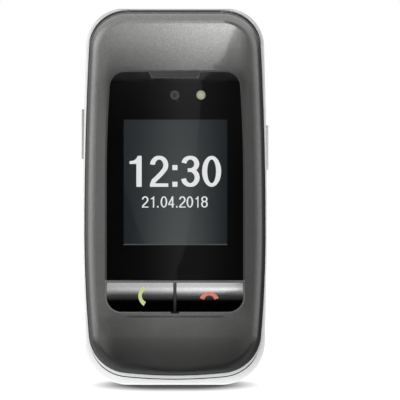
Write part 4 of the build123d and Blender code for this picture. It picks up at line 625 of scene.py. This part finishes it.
def face_outline(node, y, inset):
    """The outline of a node's flat face at y, drawn in by inset, as (x, z) points."""
    mesh = nodes[node].data
    apart = 2.5 * inset      # least distance between two points
    edges = {}
    for p in mesh.polygons:
        corners = [mesh.vertices[i].co for i in p.vertices]
        if all(abs(corner.y - y) < 2e-6 for corner in corners):
            keys = [(round(corner.x, 7), round(corner.z, 7)) for corner in corners]
            edges.update(dict.fromkeys(zip(keys, keys[1:] + keys[:1])))
    onward = {a: b for (a, b) in edges if (b, a) not in edges}
    loops = []
    while onward:
        here = next(iter(onward))
        loops.append([])
        while here in onward:
            loops[-1].append(Vector(here))
            here = onward.pop(here)
    longest = max(loops, key=len)
    points = longest[:1]
    for point in longest[1:]:
        if (point - points[-1]).length > apart:
            points.append(point)
    if (points[0] - points[-1]).length < apart:
        points.pop()
    if sum(a.cross(b) for a, b in zip(points, points[1:] + points[:1])) < 0:
        points.reverse()
    drawn = []
    for p, q, r in zip(points[-1:] + points[:-1], points, points[1:] + points[:1]):
        a, b = (q - p).normalized(), (r - q).normalized()
        normal = Vector((-(a.y + b.y), a.x + b.x))
        normal = normal.normalized() if normal.length > 1e-9 else Vector((-a.y, a.x))
        drawn.append((q.x + normal.x * inset, q.y + normal.y * inset))
    return drawn


def joined_rings(name, bm, rings, smooth=False):
    """The mesh between neighbouring rings of vertices; a ring of one vertex is a tip."""
    for a, b in zip(rings, rings[1:]):
        count = max(len(a), len(b))
        for i in range(count):
            j = (i + 1) % count
            if len(a) == 1:
                bm.faces.new((a[0], b[i], b[j]))
            elif len(b) == 1:
                bm.faces.new((a[i], a[j], b[0]))
            else:
                bm.faces.new((a[i], a[j], b[j], b[i]))
    bmesh.ops.recalc_face_normals(bm, faces=bm.faces)
    for face in bm.faces:
        face.smooth = smooth
    return mesh_of(name, bm)


def turned(name, profile, place, surface, body):
    """A turned piece round an axis along Y: profile lists (radius, y) from the place, in millimetres."""
    centre_x, centre_y, centre_z = place
    bm = bmesh.new()
    rings = []
    for radius, rise in profile:
        points = [(centre_x, centre_z)]
        if radius:
            points = circle(centre_x, centre_z, radius * MM, TURNED_SIDES)
        rings.append([bm.verts.new((x, centre_y + rise * MM, z)) for x, z in points])
    add_piece(name, joined_rings(name, bm, rings, smooth=True), surface, body)


# ---------------- materials of the new pieces


def ink_material(name, dark, light, rough, glow=0.0, shine=0.3):
    """Screen-printed ink, slightly uneven; a glow, where given, is a painted glow."""
    made, tree, shader = material(name)
    place = tree.object_place()
    speck = tree.noise(place, 4200.0, 3.0)
    tone = tree.mix(speck, dark, light)
    rough = tree.line(speck, 0.15, rough - 0.07)
    finish_of(shader, tree, Base_Color=tone, Roughness=rough, Specular_IOR_Level=shine)
    # painted glow: the ink gives light of its own
    if glow:
        finish_of(shader, tree, Emission_Color=tone, Emission_Strength=glow)
    return made


def glowing(shader, tree, tone, base=0.004):
    """A matt face that shows nothing but its glow."""
    finish_of(shader, tree, Base_Color=grey(base), Roughness=0.6, Specular_IOR_Level=0.0, Emission_Color=tone,
              Emission_Strength=1.0)


def slate_picture_material():
    """The lit outer screen: slate, lighter along the middle and towards its lower edge."""
    made, tree, shader = material("slate_picture")
    low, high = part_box("outer_display")
    x, _, z = tree.split(tree.object_place())
    middle = (low.x + high.x) / 2 + 0.8 * MM
    across = tree.math("ABSOLUTE", tree.math("SUBTRACT", x, middle))
    bright = tree.ramp(across, 0.0, 15.5 * MM, 1.0, 0.0)
    foot = tree.ramp(z, low.z, high.z, 1.0, 0.0, smooth=False)
    share = tree.times(bright, tree.line(foot, 0.58, 0.47))
    grid = tree.cell_lines(x, z, CELL, 0.058 * MM, 0.08 * MM)
    slate = tree.mix(share, (0.0035, 0.0070, 0.0090, 1), (0.052, 0.060, 0.062, 1))
    tone = tree.mix(tree.times(grid, 0.12), slate, (0.004, 0.005, 0.005, 1))
    glowing(shader, tree, tone)
    return made


def light_digits_material(name, level_low, level_high):
    """Lit white cells of a screen."""
    made, tree, shader = material(name)
    x, _, z = tree.split(tree.object_place())
    grid = tree.cell_lines(x, z, CELL, 0.062 * MM, 0.08 * MM)
    tone = tree.mix(grid, grey(level_high), grey(level_low))
    glowing(shader, tree, tone, 0.02)
    return made


def home_picture_material():
    """The lit inner screen: a plain blue dusk gradient on its grid of cells."""
    made, tree, shader = material("home_picture")
    low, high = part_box("inner_display")
    place = tree.object_place()
    x, _, z = tree.split(place)
    down = tree.ramp(z, low.z, high.z, 0.0, 1.0, smooth=False)
    wave = tree.noise(tree.scaled(place, 1.0, 0.0, 2.5), 28.0, 1.0)
    share = tree.line(wave, 0.35, tree.math("SUBTRACT", down, 0.15))
    grid = tree.cell_lines(x, z, 0.07 * MM, 0.05 * MM, 0.068 * MM)
    sky = tree.mix(share, (0.008, 0.035, 0.11, 1), (0.10, 0.29, 0.48, 1))
    tone = tree.mix(tree.times(grid, 0.12), sky, (0.002, 0.005, 0.01, 1))
    glowing(shader, tree, tone)
    return made


INK_BLACK = ink_material("ink_black", grey(0.0008), grey(0.0016), 0.6, shine=0.0)
INK_WHITE = ink_material("ink_white", grey(0.66), grey(0.76), 0.45)
INK_GREY = ink_material("ink_grey", grey(0.11), grey(0.16), 0.4)
RING_GREY = ink_material("ring_grey", grey(0.030), grey(0.045), 0.4)
# painted glow on the green and red handset marks
INK_GREEN = ink_material("ink_green", (0.34, 0.39, 0.17, 1), (0.42, 0.47, 0.23, 1), 0.45, 0.10)
INK_RED = ink_material("ink_red", (0.40, 0.115, 0.085, 1), (0.48, 0.16, 0.12, 1), 0.45, 0.08)
DIGITS = light_digits_material("lit_digits", 0.70, 0.88)


def sheet(name, shape, y, thickness, surface, up=-1):
    """A thin flat piece of the lid's displays, from loops or a flat mesh."""
    add_piece(name, thicken(name, shape, lambda x, z: y, thickness, up), surface, "lid")


# ---------------- outer window

GLASS_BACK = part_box("window_glass")[1].y
DISPLAY_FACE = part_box("outer_display")[0].y
CAMERA_X, CAMERA_Z = 0.0, middle_of("camera_module")[2]
CAMERA_PLACE = (CAMERA_X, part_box("camera_module")[0].y, CAMERA_Z)     # middle of the module's face
FLASH_X, _, FLASH_Z = middle_of("flash_led")
PRINT, DIGIT_THICK = 0.015 * MM, 0.02 * MM                   # thickness of the black print and of lit signs
SCREEN = (-14.55 * MM, 14.85 * MM, 39.95 * MM, 75.6 * MM)    # lit area of the outer display

# black print on the back of the window, open over the display, the camera and the flash
print_loops = [
    face_outline("window_glass", GLASS_BACK, 0.06 * MM),
    rounded(*SCREEN, 0.12 * MM)[::-1],
    circle(CAMERA_X, CAMERA_Z, 1.32 * MM)[::-1],
    circle(FLASH_X, FLASH_Z, 1.28 * MM)[::-1],
    circle(CAMERA_X + 0.72 * MM, CAMERA_Z - 1.72 * MM, 0.22 * MM, 24)[::-1],
]
sheet("window_print", print_loops, GLASS_BACK - PRINT, PRINT, INK_BLACK)
sheet("outer_picture", [rounded(*SCREEN, 0.1 * MM)], DISPLAY_FACE - 0.004 * MM, 0.016 * MM,
      slate_picture_material())
sheet("outer_line", [rounded(SCREEN[0], SCREEN[1], SCREEN[2], SCREEN[2] + 0.3 * MM, 0.02 * MM)],
      DISPLAY_FACE - 0.024 * MM, 0.008 * MM, light_digits_material("lit_line", 0.055, 0.072))

# each sign with its left and right end, in millimetres
CLOCK = [("1", -12.9, -9.44), ("2", -7.08, -1.88), (":", -0.72, 0.72), ("3", 1.72, 7.02), ("0", 7.72, 13.13)]
DATE = [("2", -9.38, -7.52), ("1", -6.88, -5.88), (".", -5.08, -4.62), ("0", -4.08, -2.18),
        ("4", -1.92, -0.17), (".", 0.33, 0.73), ("2", 1.19, 3.03), ("0", 3.29, 5.19), ("1", 5.83, 6.69),
        ("8", 7.43, 9.33)]
for name, signs, z0, z1, pen in (("outer_clock", CLOCK, 56.5, 65.3, 0.162),
                                 ("outer_date", DATE, 50.6, 53.8, 0.14)):
    flat = word(name, [(sign, a * MM, b * MM) for sign, a, b in signs], z0 * MM, z1 * MM, pen)
    sheet(name, flat, DISPLAY_FACE - 0.03 * MM, DIGIT_THICK, DIGITS)

# camera: stepped ring, dark throat and a domed lens, all in the gap behind the window
ring_profile = [(1.30, 0.02), (1.30, -0.055), (1.16, -0.075), (0.86, -0.06), (0.70, -0.015), (0.66, 0.02)]
turned("camera_ring", ring_profile + ring_profile[:1], CAMERA_PLACE, RING_GREY, "lid")
LENS = ink_material("lens", grey(0.003), (0.006, 0.005, 0.009, 1), 0.2, shine=0.15)
lens_profile = [(0.0, -0.05), (0.25, -0.046), (0.46, -0.03), (0.62, -0.005), (0.62, 0.01), (0.0, 0.01)]
turned("camera_lens", lens_profile, CAMERA_PLACE, LENS, "lid")
pupil = [circle(CAMERA_X, CAMERA_Z, 0.40 * MM), circle(CAMERA_X, CAMERA_Z, 0.29 * MM)[::-1]]
sheet("camera_pupil", pupil, CAMERA_PLACE[1] - 0.04 * MM, 0.012 * MM, RING_GREY)

# handset marks of the two lid keys
call = crescent(-7.35 * MM, 25.5 * MM, 2.55 * MM, 180.0, 62.0, 0.98 * MM)
printed("call_mark", [call], "call_key", INK_GREEN)
end = crescent(9.75 * MM, 24.0 * MM, 2.15 * MM, 90.0, 72.0, 1.0 * MM)
printed("end_mark", [end], "end_key", INK_RED)

# painted shade: a dark strip on the base and the barrel just outside the lid's outline, widest at the hinge
# and at the foot; its colour also serves the hinge washers
SEAM_AND_PAINTED_SHADE = moulded_material("seam_and_painted_shade", (0.010, 0.010, 0.010, 1), (0.018, 0.018, 0.018, 1), 0.7)
LID_Y = (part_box("lid_outer_cover")[1].y - 0.4 * MM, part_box("lid_inner_shell")[0].y + 1.2 * MM)
SHADE_UNDER = 0.2 * MM         # how far the painted shade strip reaches under the lid
SHADE_STEPS = 7                # faces across it
OUTLINE_POINTS = 720
OUTSIDE = 0.2                 # rays that find the lid's outline start this far out, at each y of LID_Y
BARREL_END = 13.17 * MM
EAR_START = 13.42 * MM
HINGE_Y, HINGE_Z = 3.1 * MM, 102.9 * MM
SHADE_SIDE, SHADE_TOP, SHADE_FOOT = 0.05 * MM, 0.92 * MM, 0.32 * MM     # width at the sides; added to it


def lid_outline():
    """The lid's outline seen from the front, as (x, z) points all round."""
    trees = list(zip((skin("lid_outer_cover"), skin("lid_inner_shell")), LID_Y))
    middle_x, _, middle_z = middle_of("lid_outer_cover")
    loop = []
    for i in range(OUTLINE_POINTS):
        t = 2 * math.pi * i / OUTLINE_POINTS
        way = Vector((math.cos(t), 0.0, math.sin(t)))
        hits = []
        for tree, y in trees:
            start = Vector((middle_x, y, middle_z)) + way * OUTSIDE
            hit = tree.ray_cast(start, -way)[0]
            if hit:
                hits.append(((hit - start).length, (hit.x, hit.z)))
        loop.append(min(hits)[1])
    return loop


def seam_band(points):
    """Pairs of edges along the outline, each from just under the lid to the outer side of the painted shade
    strip.
    """
    count = len(points)
    edge = []
    for i in range(count):
        p, r = Vector(points[i - 1]), Vector(points[(i + 1) % count])
        way = (r - p).normalized()
        out = Vector((way.y, -way.x))       # up at the top of the lid, down at its foot
        wide = SHADE_SIDE
        if out.y > 0.15:
            wide += SHADE_TOP * ((out.y - 0.15) / 0.85) ** 0.7
        if out.y < -0.25:
            wide += SHADE_FOOT * min(1.0, (-out.y - 0.25) / 0.5)
        q = Vector(points[i])
        edge.append((q - out * SHADE_UNDER, q + out * wide))
    return [(edge[i], edge[(i + 1) % count]) for i in range(count)]


def seam_piece(name, quads, node, body):
    """The painted shade band laid on the front of a node."""
    surface = on_node(node, -1, -0.012 * MM)
    bm = bmesh.new()
    for (a, b), (c, d) in quads:
        for k in range(SHADE_STEPS):
            near, far = k / SHADE_STEPS, (k + 1) / SHADE_STEPS
            corners = (a.lerp(b, near), a.lerp(b, far), c.lerp(d, far), c.lerp(d, near))
            bm.faces.new([bm.verts.new((x, surface(x, z), z)) for x, z in corners])
    bmesh.ops.remove_doubles(bm, verts=bm.verts, dist=1e-8)
    add_piece(name, mesh_of(name, bm), SEAM_AND_PAINTED_SHADE, body)


def between(quads, near, far):
    """The quads that lie where |x| is between two limits; those across a limit are cut there."""
    kept = []
    for pair in quads:
        reach = [abs(p.x) for edge in pair for p in edge]
        if min(reach) < far and max(reach) > near:
            kept.append([[Vector((math.copysign(min(max(abs(p.x), near), far), p.x), p.y)) for p in edge]
                         for edge in pair])
    return kept


quads = seam_band(lid_outline())
upper = [q for q in quads if q[0][0].y > HINGE_Z]
base_side = [q for q in quads if q[0][0].y <= HINGE_Z]
base_side += between(upper, EAR_START + 0.02 * MM, 1.0)
seam_piece("painted_shade_barrel", between(upper, 0.0, BARREL_END - 0.02 * MM), "lid_inner_shell", "lid")
seam_piece("painted_shade_base", base_side, "base_front_shell", "base")


def washer(name, x0, x1, inner, outer):
    """A flat ring round the hinge axis."""
    bm = bmesh.new()
    rings = [[bm.verts.new((x, y, z)) for y, z in circle(HINGE_Y, HINGE_Z, radius)]
             for x, radius in ((x0, inner), (x0, outer), (x1, outer), (x1, inner))]
    add_piece(name, joined_rings(name, bm, rings + rings[:1]), SEAM_AND_PAINTED_SHADE, "base")


for name, sign in (("hinge_washer_left", -1), ("hinge_washer_right", 1)):
    ends = sorted((sign * (BARREL_END + 0.03 * MM), sign * (EAR_START - 0.03 * MM)))
    washer(name, ends[0], ends[1], 3.5 * MM, 4.5 * MM)


# ---------------- inner side

# keypad marks
MARK_HIGH = 4.4 * MM
DIGIT_NAMES = {"key_star": "*", "key_hash": "#"}
DIGIT_NAMES.update({f"key_{d}": str(d) for d in range(10)})
for node, sign in DIGIT_NAMES.items():
    x, _, z = middle_of(node)
    wide = MARK_HIGH * GLYPH_WIDTH.get(sign, DIGIT_WIDTH)
    name = "mark_" + node
    flat = word(name, [(sign, x - wide / 2, x + wide / 2)], z - MARK_HIGH / 2, z + MARK_HIGH / 2, 0.14)
    printed(name, flat, node, INK_WHITE)

x, _, z = middle_of("send_key")
send = crescent(x + 1.6 * MM, z, 2.6 * MM, 180.0, 62.0, 0.95 * MM)
printed("send_mark", [send], "send_key", INK_GREEN)
x, _, z = middle_of("power_key")
power = crescent(x, z - 1.7 * MM, 2.6 * MM, 90.0, 62.0, 0.95 * MM)
printed("power_mark", [power], "power_key", INK_RED)
for side in ("left", "right"):
    x, _, z = middle_of("soft_key_" + side)
    dash = rounded(x - 1.9 * MM, x + 1.9 * MM, z - 0.35 * MM, z + 0.35 * MM, 0.34 * MM)
    printed("soft_mark_" + side, [dash], "soft_key_" + side, INK_WHITE)

x, _, z = middle_of("nav_key")
nav_loops = [rounded(x - 3.5 * MM, x + 3.5 * MM, z - 4.9 * MM, z + 4.9 * MM, 3.4 * MM),
             rounded(x - 3.2 * MM, x + 3.2 * MM, z - 4.6 * MM, z + 4.6 * MM, 3.1 * MM)[::-1]]
printed("nav_ring", nav_loops, "nav_key", SILVER)
for k, way in enumerate((1, -1)):
    arrow = circle(x, z + way * 7.2 * MM, 1.25 * MM, 3, way * math.pi / 2)
    printed(f"nav_arrow_{k}", [arrow], "nav_key", INK_WHITE)

# inner window: black print round the screen, and the lit picture behind it
LENS_LOW, LENS_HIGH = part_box("inner_lens")
INNER_LOW, INNER_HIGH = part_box("inner_display")
INNER_SCREEN = (-20.6 * MM, 20.6 * MM, INNER_LOW.z + 2.0 * MM, INNER_HIGH.z - 2.4 * MM)
RIM = 0.1 * MM
lens_loops = [rounded(LENS_LOW.x + RIM, LENS_HIGH.x - RIM, LENS_LOW.z + RIM, LENS_HIGH.z - RIM, 2.3 * MM),
              rounded(*INNER_SCREEN, 0.3 * MM)[::-1]]
sheet("inner_print", lens_loops, LENS_LOW.y + PRINT, PRINT, INK_BLACK, 1)
sheet("inner_picture", [rounded(*INNER_SCREEN, 0.2 * MM)], INNER_HIGH.y + 0.01 * MM, 0.02 * MM,
      home_picture_material(), 1)

INNER_FRONT = INNER_HIGH.y + 0.04 * MM
for name, text, half, z0, z1, pen in (("inner_clock", "12:30", 12.5, 45.0, 53.0, 0.15),
                                      ("inner_date", "21.04.2018", 10.5, 56.5, 59.6, 0.13)):
    flat = word(name, spread(text, -half * MM, half * MM), z0 * MM, z1 * MM, pen, mirrored=True)
    sheet(name, flat, INNER_FRONT, DIGIT_THICK, DIGITS, 1)


def symbol(base_z, x0, x1, z0, z1, radius, count=3):
    """One loop of a symbol on the inner screen, in millimetres, its heights counted from a line."""
    return rounded(x0 * MM, x1 * MM, base_z + z0 * MM, base_z + z1 * MM, radius * MM, count)


TOP_Z = INNER_SCREEN[2] + 2.3 * MM
FOOT_Z = INNER_SCREEN[3] - 3.4 * MM
signal_loops = [symbol(TOP_Z, 1.1 * i - 19.0, 1.1 * i - 18.25, -0.85 - 0.45 * i, 0.3, 0.1) for i in range(4)]
charge_loops = [symbol(TOP_Z, 14.6, 18.6, -1.6, 0.3, 0.3, 4),
                symbol(TOP_Z, 14.85, 18.35, -1.35, 0.05, 0.15, 4)[::-1],
                symbol(TOP_Z, 15.1, 17.4, -1.1, -0.2, 0.1),
                symbol(TOP_Z, 18.7, 19.1, -1.1, -0.2, 0.1)]
menu_loops = [circle(x * MM, FOOT_Z, 0.7 * MM, 24) for x in (-16.5, -14.1, -11.7)]
menu_loops += [symbol(FOOT_Z, 11.6, 17.2, dz, dz + 0.5, 0.2) for dz in (-1.3, -0.2, 0.9)]
for name, loops in (("inner_signal", signal_loops), ("inner_charge", charge_loops),
                    ("inner_menu", menu_loops)):
    sheet(name, loops, INNER_FRONT, DIGIT_THICK, DIGITS, 1)


# ---------------- back

SOS_Z = middle_of("sos_button")[2]
HEART_UNIT = 0.245            # a 32nd of the heart's width, in millimetres
HEART_POINTS = 96
heart = []
for i in range(HEART_POINTS):
    t = 2 * math.pi * i / HEART_POINTS
    u = 16 * math.sin(t) ** 3
    v = 13 * math.cos(t) - 5 * math.cos(2 * t) - 2 * math.cos(3 * t) - math.cos(4 * t)
    heart.append((-u * HEART_UNIT * MM, SOS_Z + (v + 1.5) * HEART_UNIT * MM))
printed("sos_heart", [heart], "sos_button", INK_GREY, 1)


# ---------------- floor, world, lamps, camera

FLOOR_FRONT = -0.30
FLOOR_BACK = 3.0
FLOOR_HALF = 3.0
FLOOR_CELLS = 12


def floor_material():
    """Pale paper floor that keeps its shadow and fades to white further out, with a painted shadow round the
    foot; gloss looks through it.
    """
    made, tree, shader = material("floor_paper")
    place = tree.object_place()
    x, y, _ = tree.split(place)
    fibre = tree.noise(place, 1400.0, 4.0)
    path = tree.new("ShaderNodeLightPath").outputs
    # painted shadow: a distance from the foot, stretched along x, that shapes a dark pool round it
    past = tree.times(tree.over(tree.math("ABSOLUTE", x), 0.004), 3.0)
    away = tree.math("SQRT", tree.plus(tree.times(past, past), tree.times(y, y)))
    # to the camera the paper shows a fifth of its lit colour, which deepens the painted shadow round the foot
    near = tree.mix(path["Is Camera Ray"], 1.0, 0.20)
    tone = tree.mix(fibre, grey(0.90), grey(0.94))
    tone = tree.new("ShaderNodeVectorMath", {0: tone, "Scale": near}, operation="SCALE").outputs[0]
    # for the camera a glow brings the paper to white, left out near the foot: a painted shadow
    glow = tree.mix(path["Is Camera Ray"], 1.1, tree.ramp(away, 0.024, 0.070, 0.0, 1.0))
    finish_of(shader, tree, Base_Color=tone, Roughness=0.9, Specular_IOR_Level=0.0,
              Emission_Color=grey(1.0), Emission_Strength=glow)
    clear = tree.new("ShaderNodeBsdfTransparent", {"Color": grey(1.0)}).outputs[0]
    both = tree.new("ShaderNodeMixShader", {0: path["Is Glossy Ray"], 1: shader.outputs[0], 2: clear})
    tree.put(made.node_tree.nodes["Material Output"].inputs["Surface"], both.outputs[0])
    return made


bm = bmesh.new()
xs = [FLOOR_HALF * (2 * i / FLOOR_CELLS - 1) for i in range(FLOOR_CELLS + 1)]
ys = [FLOOR_FRONT + (FLOOR_BACK - FLOOR_FRONT) * i / FLOOR_CELLS for i in range(FLOOR_CELLS + 1)]
columns = [[bm.verts.new((x, y, 0.0)) for y in ys] for x in xs]
for a, b in zip(columns, columns[1:]):
    for j in range(FLOOR_CELLS):
        bm.faces.new((a[j], b[j], b[j + 1], a[j + 1]))
floor = bpy.data.objects.new("floor", mesh_of("floor", bm))
scene.collection.objects.link(floor)
floor.data.materials.append(floor_material())


def studio_world():
    """White surround. What gloss mirrors is a studio: a bright panel above the camera with a curved right
    edge, pale side walls, and a darker opening round the camera itself."""
    world = bpy.data.worlds.new("studio")
    scene.world = world
    world.use_nodes = True
    world.node_tree.nodes.clear()
    world.cycles.sampling_method = "NONE"
    tree = Tree(world.node_tree)
    way = tree.new("ShaderNodeTexCoord").outputs["Generated"]
    dx, dy, dz = tree.split(way)
    side = tree.math("ARCTAN2", dx, tree.times(dy, -1.0))    # 0 towards the camera, + to its right
    rise = tree.math("ARCSINE", dz)

    # curved right edge of the panel
    edge = tree.times(tree.math("SQRT", tree.over(rise, -0.012)), 0.282)
    inside = tree.ramp(tree.math("SUBTRACT", side, edge), -0.002, 0.002, 1.0, 0.0)
    inside = tree.math("MAXIMUM", inside, tree.ramp(rise, 0.19, 0.24))
    # opening round the camera, with a faint light middle
    off = tree.math("DIVIDE", tree.math("SUBTRACT", side, 0.03), 0.07)
    hump = tree.math("EXPONENT", tree.times(tree.times(off, off), -1.0))
    opening = tree.line(hump, 0.35, 0.04)
    opening = tree.times(opening, tree.line(inside, 0.55, 0.45))
    # the panel brightens upwards and to the right
    panel = tree.times(tree.over(rise, 0.012), 15.6)
    panel = tree.times(panel, tree.ramp(rise, 0.17, 0.27, 1.0, 0.0))
    panel = tree.plus(panel, tree.ramp(rise, 0.17, 0.27, 0.0, 1.75))
    slope = tree.ramp(rise, 0.17, 0.30, 3.4, 0.6)
    panel = tree.times(panel, tree.math("EXPONENT", tree.times(side, slope)))
    beyond = tree.line(tree.over(rise, 0.02), 11.0, 0.04)
    upper = tree.mix(inside, beyond, panel)
    upper = tree.plus(opening, tree.times(upper, tree.ramp(rise, 0.0, 0.03)))
    lower = tree.ramp(rise, -0.16, -0.025, 0.0, 1.0, smooth=False)
    lower = tree.line(tree.times(lower, lower), 0.70, 0.22)
    lower = tree.times(lower, tree.ramp(tree.math("ABSOLUTE", side), 0.03, 0.14, 1.0, 0.62))
    lower = tree.times(lower, tree.ramp(rise, -1.2, -0.16, 0.5, 1.0))
    front = tree.mix(tree.ramp(rise, -0.0195, -0.0150), lower, upper)
    # pale walls to the left and to the right
    lift = tree.math("MINIMUM", tree.times(tree.math("MAXIMUM", rise, 0.0), 3.0), 0.6)
    fall = tree.ramp(rise, -0.30, 0.0, 0.22, 1.0)
    left = tree.times(tree.ramp(side, -1.05, -0.12, 1.85, 0.78), tree.ramp(side, -2.15, -1.0, 0.18, 1.0))
    left = tree.times(tree.plus(left, lift), fall)
    right = tree.times(tree.ramp(side, 0.12, 1.1, 0.42, 1.10), tree.ramp(side, 1.2, 2.3, 1.0, 0.25))
    right = tree.times(tree.plus(right, tree.times(lift, 0.4)), fall)
    around = tree.mix(tree.ramp(side, -0.160, -0.130), left, front)
    around = tree.mix(tree.ramp(side, 0.125, 0.150), around, right)
    # behind the phone, and overhead
    rear = tree.plus(tree.ramp(rise, -0.10, 0.9, 0.35, 1.5), tree.times(dx, -0.25))
    around = tree.mix(tree.ramp(dy, -0.35, 0.25), around, rear)
    mirrored = tree.mix(tree.ramp(rise, 0.45, 0.80), around, 1.55)
    # dark ring that outlines the edges which turn away from the camera
    turn = tree.math("ARCCOSINE", tree.times(dy, -1.0))
    ring = tree.times(tree.ramp(turn, 2.10, 2.40), tree.ramp(turn, 2.60, 2.78, 1.0, 0.0))
    mirrored = tree.times(mirrored, tree.line(ring, -0.85, 1.0))
    mirrored = tree.math("MAXIMUM", mirrored, 0.0)

    plain = tree.ramp(rise, -0.4, 1.3, 0.40, 0.50)
    path = tree.new("ShaderNodeLightPath").outputs
    turned_back = tree.times(path["Is Transmission Ray"],
                            tree.math("GREATER_THAN", path["Glossy Depth"], 0.5))
    straight = tree.math("SUBTRACT", path["Is Transmission Ray"], turned_back)
    seen = tree.math("MAXIMUM", path["Is Camera Ray"], straight)
    strength = tree.mix(tree.math("MAXIMUM", path["Is Glossy Ray"], turned_back), plain, mirrored)
    strength = tree.mix(seen, strength, 1.0)
    back = tree.new("ShaderNodeBackground", {"Color": grey(1.0), "Strength": strength})
    out = tree.new("ShaderNodeOutputWorld")
    tree.put(out.inputs["Surface"], back.outputs[0])


studio_world()


def lamp(name, place, aim, size, power):
    """A large soft lamp that gives shading and shadows, but isn't mirrored."""
    data = bpy.data.lights.new(name, "AREA")
    data.shape = "SQUARE"
    data.size = size
    data.energy = power
    made = bpy.data.objects.new(name, data)
    scene.collection.objects.link(made)
    made.location = place
    made.rotation_mode = "QUATERNION"
    made.rotation_quaternion = (Vector(aim) - Vector(place)).to_track_quat("-Z", "Y")
    made.visible_glossy = False
    made.visible_transmission = False
    made.visible_camera = False


MIDDLE = Vector((0.0, 0.0, 0.05))
lamp("overhead", (0.0, 0.05, 1.3), MIDDLE, 1.2, 2.0)
lamp("rear_top", (0.0, 0.9, 1.0), MIDDLE, 0.5, 4.5)
lamp("front_left", (-0.9, -1.3, 0.32), MIDDLE, 0.9, 11.0)

VIEW_X = 7.13 * MM
VIEW_Z = 52.75 * MM
VIEW_WIDTH = 113.65 * MM      # width of the picture at the phone's face
VIEW_Y = -1.6
SENSOR = 36.0
lens_data = bpy.data.cameras.new("camera")
lens_data.sensor_width = SENSOR
lens_data.lens = SENSOR * (cad_box[0].y - VIEW_Y) / VIEW_WIDTH
lens_data.clip_start = 0.05
lens_data.clip_end = 50.0
camera = bpy.data.objects.new("camera", lens_data)
scene.collection.objects.link(camera)
camera.location = (VIEW_X, VIEW_Y, VIEW_Z)
camera.rotation_euler = (math.radians(90.0), 0.0, 0.0)
scene.camera = camera
scene.view_settings.view_transform = "Standard"
